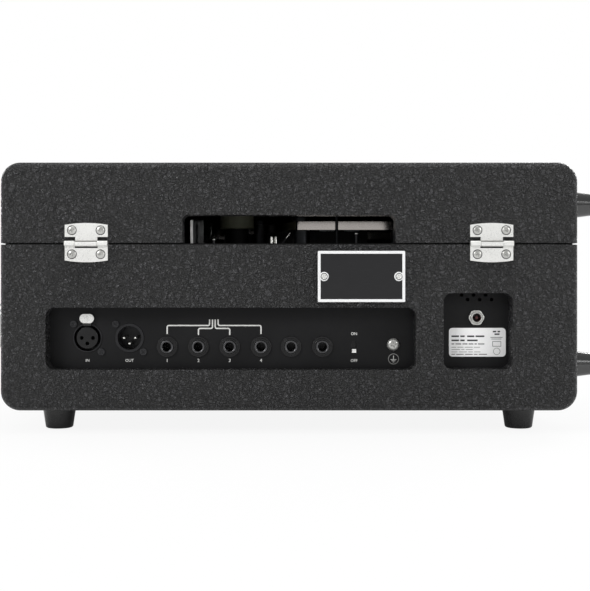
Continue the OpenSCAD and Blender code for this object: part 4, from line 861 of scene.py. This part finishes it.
# %% Label rules
LABEL_FACE_Y = 127.9
LABEL_LEFT = -118.1
WORD_GAP = 0.9
ROWS = ((69.2, 1.3, DARK_INK, (5.5, 3.2, 0, 5.2, 6.4)), (66.2, 1.3, DARK_INK, (5.5, 3.2, 0, 7.6)),
        (63.6, 0.75, DARK_INK, (2, 4.2, 3.6, 3.4, 1.6, 4.6)), (61.2, 0.5, GREY_INK, (3.4, 4.4, 5.8, 4.4)),
        (59.5, 0.5, GREY_INK, (6.2, 2.4, 5)), (57.8, 0.5, GREY_INK, (4.4, 6, 3.4, 4.6)),
        (56.1, 0.6, DARK_INK, (2.6, 5.4, 5.6, 2.6, 6)))
rules = []
for height, thick, ink, words in ROWS:
    left = LABEL_LEFT
    for word in words:
        if word:
            rules.append(stroke([(left, height), (left - word, height)], thick, LABEL_FACE_Y, ink))
        left -= word + WORD_GAP
for left, right, height, thick in ((-148.2, -150.6, 72.6, 1.2), (-151.6, -153.4, 72.6, 1.2),
                                   (-149.4, -153, 70.7, 1.2), (-146.4, -155.2, 68.4, 0.45),
                                   (-147, -154.4, 67.2, 0.45)):
    rules.append(stroke([(left, height), (right, height)], thick, LABEL_FACE_Y, DARK_INK))
rules.append(stroke([(-148, 65.4), (-154, 65.4), (-154, 61.9), (-148, 61.9)], 0.5, LABEL_FACE_Y, DARK_INK, True))
rules.append(stroke(ring(-151, 58.2, 2.4), 0.4, LABEL_FACE_Y, GREY_INK))
settle(join("label_rules", rules), "base")

# %% [markdown]
# ## The knobs
# Seven phenolic knobs turn the dials at the front: a skirt, a fluted barrel to grip, a
# dished cap and a white line that points at the scale. The CAD knob is plain, because
# flutes mean nothing to physics. Each is turned on a lathe from rings taken off the CAD
# knob's own box, every second face of the barrel is sunk to make the flutes, and it
# rides on its own body, so that it turns with its joint.

# %% One fluted knob
KNOB_BACK_Y = -130.1
KNOB_FRONT_Y = -145.9


def fluted_knob(name, x, z, radius, skirt):
    """A knob of a barrel radius and a skirt depth, facing the front."""
    deep = KNOB_BACK_Y - KNOB_FRONT_Y
    rings = [(3, -8), (3, 0), (radius + 1.1, 0.02), (radius + 1.5, 0.5), (radius + 1.5, skirt - 1.2),
             (radius + 0.6, skirt - 0.3), (radius, skirt), (radius - 0.1, skirt + 1.2), (radius - 0.5, deep - 1.6),
             (radius - 0.9, deep - 0.6), (radius - 1.7, deep - 0.15), (radius - 2.6, deep - 0.15),
             (radius - 3.1, deep - 0.7), (radius * 0.35, deep - 1.0)]
    sides = 48 if radius < 12 else 72
    knob = turned(name, rings, sides)
    flute = 2 * math.pi / sides

    def in_flute(at):
        barrel = skirt + 1.2 < at.z < deep - 1.6 and math.hypot(at.x, at.y) > radius - 1
        return barrel and int(math.floor(math.atan2(at.y, at.x) / flute)) % 2 == 0

    pick(knob, in_flute)
    bpy.ops.mesh.inset(thickness=0.22, depth=-0.45, use_individual=True)
    paint(knob, FINISHES["knob_black"])
    line = start(name + "_line", bpy.ops.mesh.primitive_cube_add, size=1, location=(0, radius - 2.9, deep - 0.4))
    bpy.ops.transform.resize(value=(1.1, 4.6, 0.7), center_override=(0, radius - 2.9, deep - 0.4))
    bpy.ops.mesh.bevel(offset=0.12, segments=2)
    paint(line, INK)
    tick = start(name + "_tick", bpy.ops.mesh.primitive_cube_add, size=1, location=(0, radius + 0.6, skirt - 0.9))
    bpy.ops.transform.resize(value=(1.1, 1.7, 1.0), center_override=(0, radius + 0.6, skirt - 0.9))
    bpy.ops.mesh.bevel(offset=0.12, segments=2)
    paint(tick, INK)
    whole = join(name, [knob, line, tick])
    return copies(name, whole, [(x, KNOB_BACK_Y, z)], (90, 0, 0))


KNOBS = [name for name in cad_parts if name.endswith("_knob") and name != "slide_switch_knob"]
DIALS = {}
for node in KNOBS:
    low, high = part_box(node)
    x, z = (low.x + high.x) / 2 / MM, (low.z + high.z) / 2 / MM
    radius = (high.x - low.x) / 2 / MM - 1.5
    DIALS[node] = (x, z, radius)
    made = fluted_knob("fluted_" + node, x, z, radius, 3 if radius < 12 else 4)
    settle(made, node, 25)
    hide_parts(node)
print(len(DIALS), "knobs")

# %% [markdown]
# ## The front panel's marks
# Round each knob runs a scale of ticks with numbers, from 0 to 10 on the levels and
# from 1 to 12 on the mode selector, over the 300 degrees that the knob turns. The
# switch is marked on and off, and the sockets are numbered.

# %% Dials and numbers on the front panel
DIAL_SWEEP = 150
front_marks = []
for node, (x, z, radius) in DIALS.items():
    names = range(1, 13) if radius > 12 else range(0, 11)
    for count, number in enumerate(names):
        turn = math.radians(-DIAL_SWEEP + 2 * DIAL_SWEEP * count / (len(names) - 1))
        inner, outer, at = radius + 2.6, radius + 4.2, radius + 6.6
        front_marks.append(stroke([(x + r * math.sin(turn), z + r * math.cos(turn)) for r in (inner, outer)],
                                  0.6, FRONT_FACE_Y, DARK_INK))
        front_marks.append(letters(str(number), 3.6, x + at * math.sin(turn), z + at * math.cos(turn),
                                   FRONT_FACE_Y, DARK_INK))
    front_marks.append(stroke(ring(x, z, radius + 2.6, -DIAL_SWEEP, DIAL_SWEEP), 0.4, FRONT_FACE_Y, DARK_INK))
captions = [("ON", 156, 76), ("OFF", 156, 51.5)]
captions += [(str(count + 1), x, INPUTS_Z - 11.4) for count, x in enumerate(INPUTS_X)]
for words, x, z in captions:
    front_marks.append(letters(words, 4.2, x, z, FRONT_FACE_Y, DARK_INK))
settle(join("front_panel_print", front_marks), "base")

# %% The level meter's scale
METER_FACE_Y = -123.55
PIVOT = (-138, 82.9)
ARC_R = 21.5
NEEDLE_SWEEP = 42
RED_FROM = 20
scale_marks = [stroke(ring(*PIVOT, ARC_R, -NEEDLE_SWEEP, RED_FROM), 0.35, METER_FACE_Y, DARK_INK),
               stroke(ring(*PIVOT, ARC_R, RED_FROM, NEEDLE_SWEEP), 0.9, METER_FACE_Y, RED_INK)]
for count, number in enumerate((20, 10, 7, 5, 3, 1, 0, 1, 2, 3)):
    turn = math.radians(-NEEDLE_SWEEP + 2 * NEEDLE_SWEEP * count / 9)
    ink = DARK_INK if count < 7 else RED_INK
    start_at, end_at, number_at = [(PIVOT[0] + r * math.sin(turn), PIVOT[1] + r * math.cos(turn))
                                   for r in (ARC_R, ARC_R + 1.9, ARC_R + 4.1)]
    scale_marks.append(stroke([start_at, end_at], 0.4, METER_FACE_Y, ink))
    scale_marks.append(letters(str(number), 2.3, *number_at, METER_FACE_Y, ink))
settle(join("meter_scale", scale_marks), "base")

# %% [markdown]
# ## What shows in the slot
# The tape runs right behind the slot in the lid, and small things round it catch the
# light: two polished sleeves on pins, a bent nylon guide, a contact wire in a rubber
# sleeve and two standoffs with bright screws. They stand on the deck, so they look
# right from above when the lid is open.

# %% Sleeves and guide behind the slot
DECK_TOP = 133.9
LIFT = 0.02
SLEEVE = [(1.45, 0), (1.45, 9.6), (1.3, 10.6), (0.9, 11.3), (0.4, 11.6)]
sleeve = paint(turned("pin_sleeve", SLEEVE, 24), FINISHES["contact_metal"])
sleeves = copies("pin_sleeves", sleeve, [(x, 84, DECK_TOP + LIFT) for x in (13.6, 10.2)])
settle(sleeves, "base")

GUIDE_AT = (71.4, 116)
guide = start("nylon_guide", bpy.ops.mesh.primitive_plane_add, size=1, location=(*GUIDE_AT, DECK_TOP + LIFT))
bpy.ops.transform.resize(value=(1.9, 8, 1), center_override=(*GUIDE_AT, DECK_TOP))
bpy.ops.mesh.extrude_region_move(TRANSFORM_OT_translate={"value": (0, 0, 1.2)})
pick(guide, lambda at: at.y > 119.9 and at.z < DECK_TOP + 1.1)
bpy.ops.mesh.extrude_region_move(TRANSFORM_OT_translate={"value": (0, 1.6, 0)})
pick(guide, lambda at: at.y > 119.9 and at.z > DECK_TOP + 1.1)
for rise, back in ((4, 0.0), (4, 0.3), (3, 0.8), (4, -0.6), (4, -0.6)):
    bpy.ops.mesh.extrude_region_move(TRANSFORM_OT_translate={"value": (0, back, rise)})
bpy.ops.mesh.select_all(action="SELECT")
bpy.ops.mesh.bevel(offset=0.2, segments=2)
paint(guide, FINISHES["white_nylon"])
settle(guide, "base")

# %% Contact wire and standoffs
WIRE_LEAN = 35.9
STANDOFF_Y = 105
boot = paint(turned("contact_boot", [(0.8, 0), (0.8, 8.4), (0.5, 8.7)], 20), FINISHES["belt_rubber"])
tip = paint(turned("contact_tip", [(0.42, 8.2), (0.42, 13.7), (0.2, 13.9)], 20), FINISHES["contact_metal"])
wire = copies("contact_wire", join("contact_wire", [boot, tip]), [(7.3, STANDOFF_Y, DECK_TOP + 0.5)],
              (0, -WIRE_LEAN, 0))
settle(wire, "base")
standoffs = []
for x, tall in ((-50.5, 10.6), (56.5, 6.2)):
    pillar = turned("pillar", [(2.4, 0), (2.4, 0.8), (1.5, 0.85), (1.5, tall)], 24)
    paint(pillar, FINISHES["screw_black"])
    cap = turned("cap", [(0.7, tall - 0.5), (0.7, tall), (1.7, tall + 0.02), (1.7, tall + 0.6), (1.2, tall + 1.1),
                         (0.5, tall + 1.3)], 24)
    standoffs.append(copies("standoff", join("standoff", [pillar, paint(cap, FINISHES["contact_metal"])]),
                            [(x, STANDOFF_Y, DECK_TOP + LIFT)]))
settle(join("deck_standoffs", standoffs), "base")
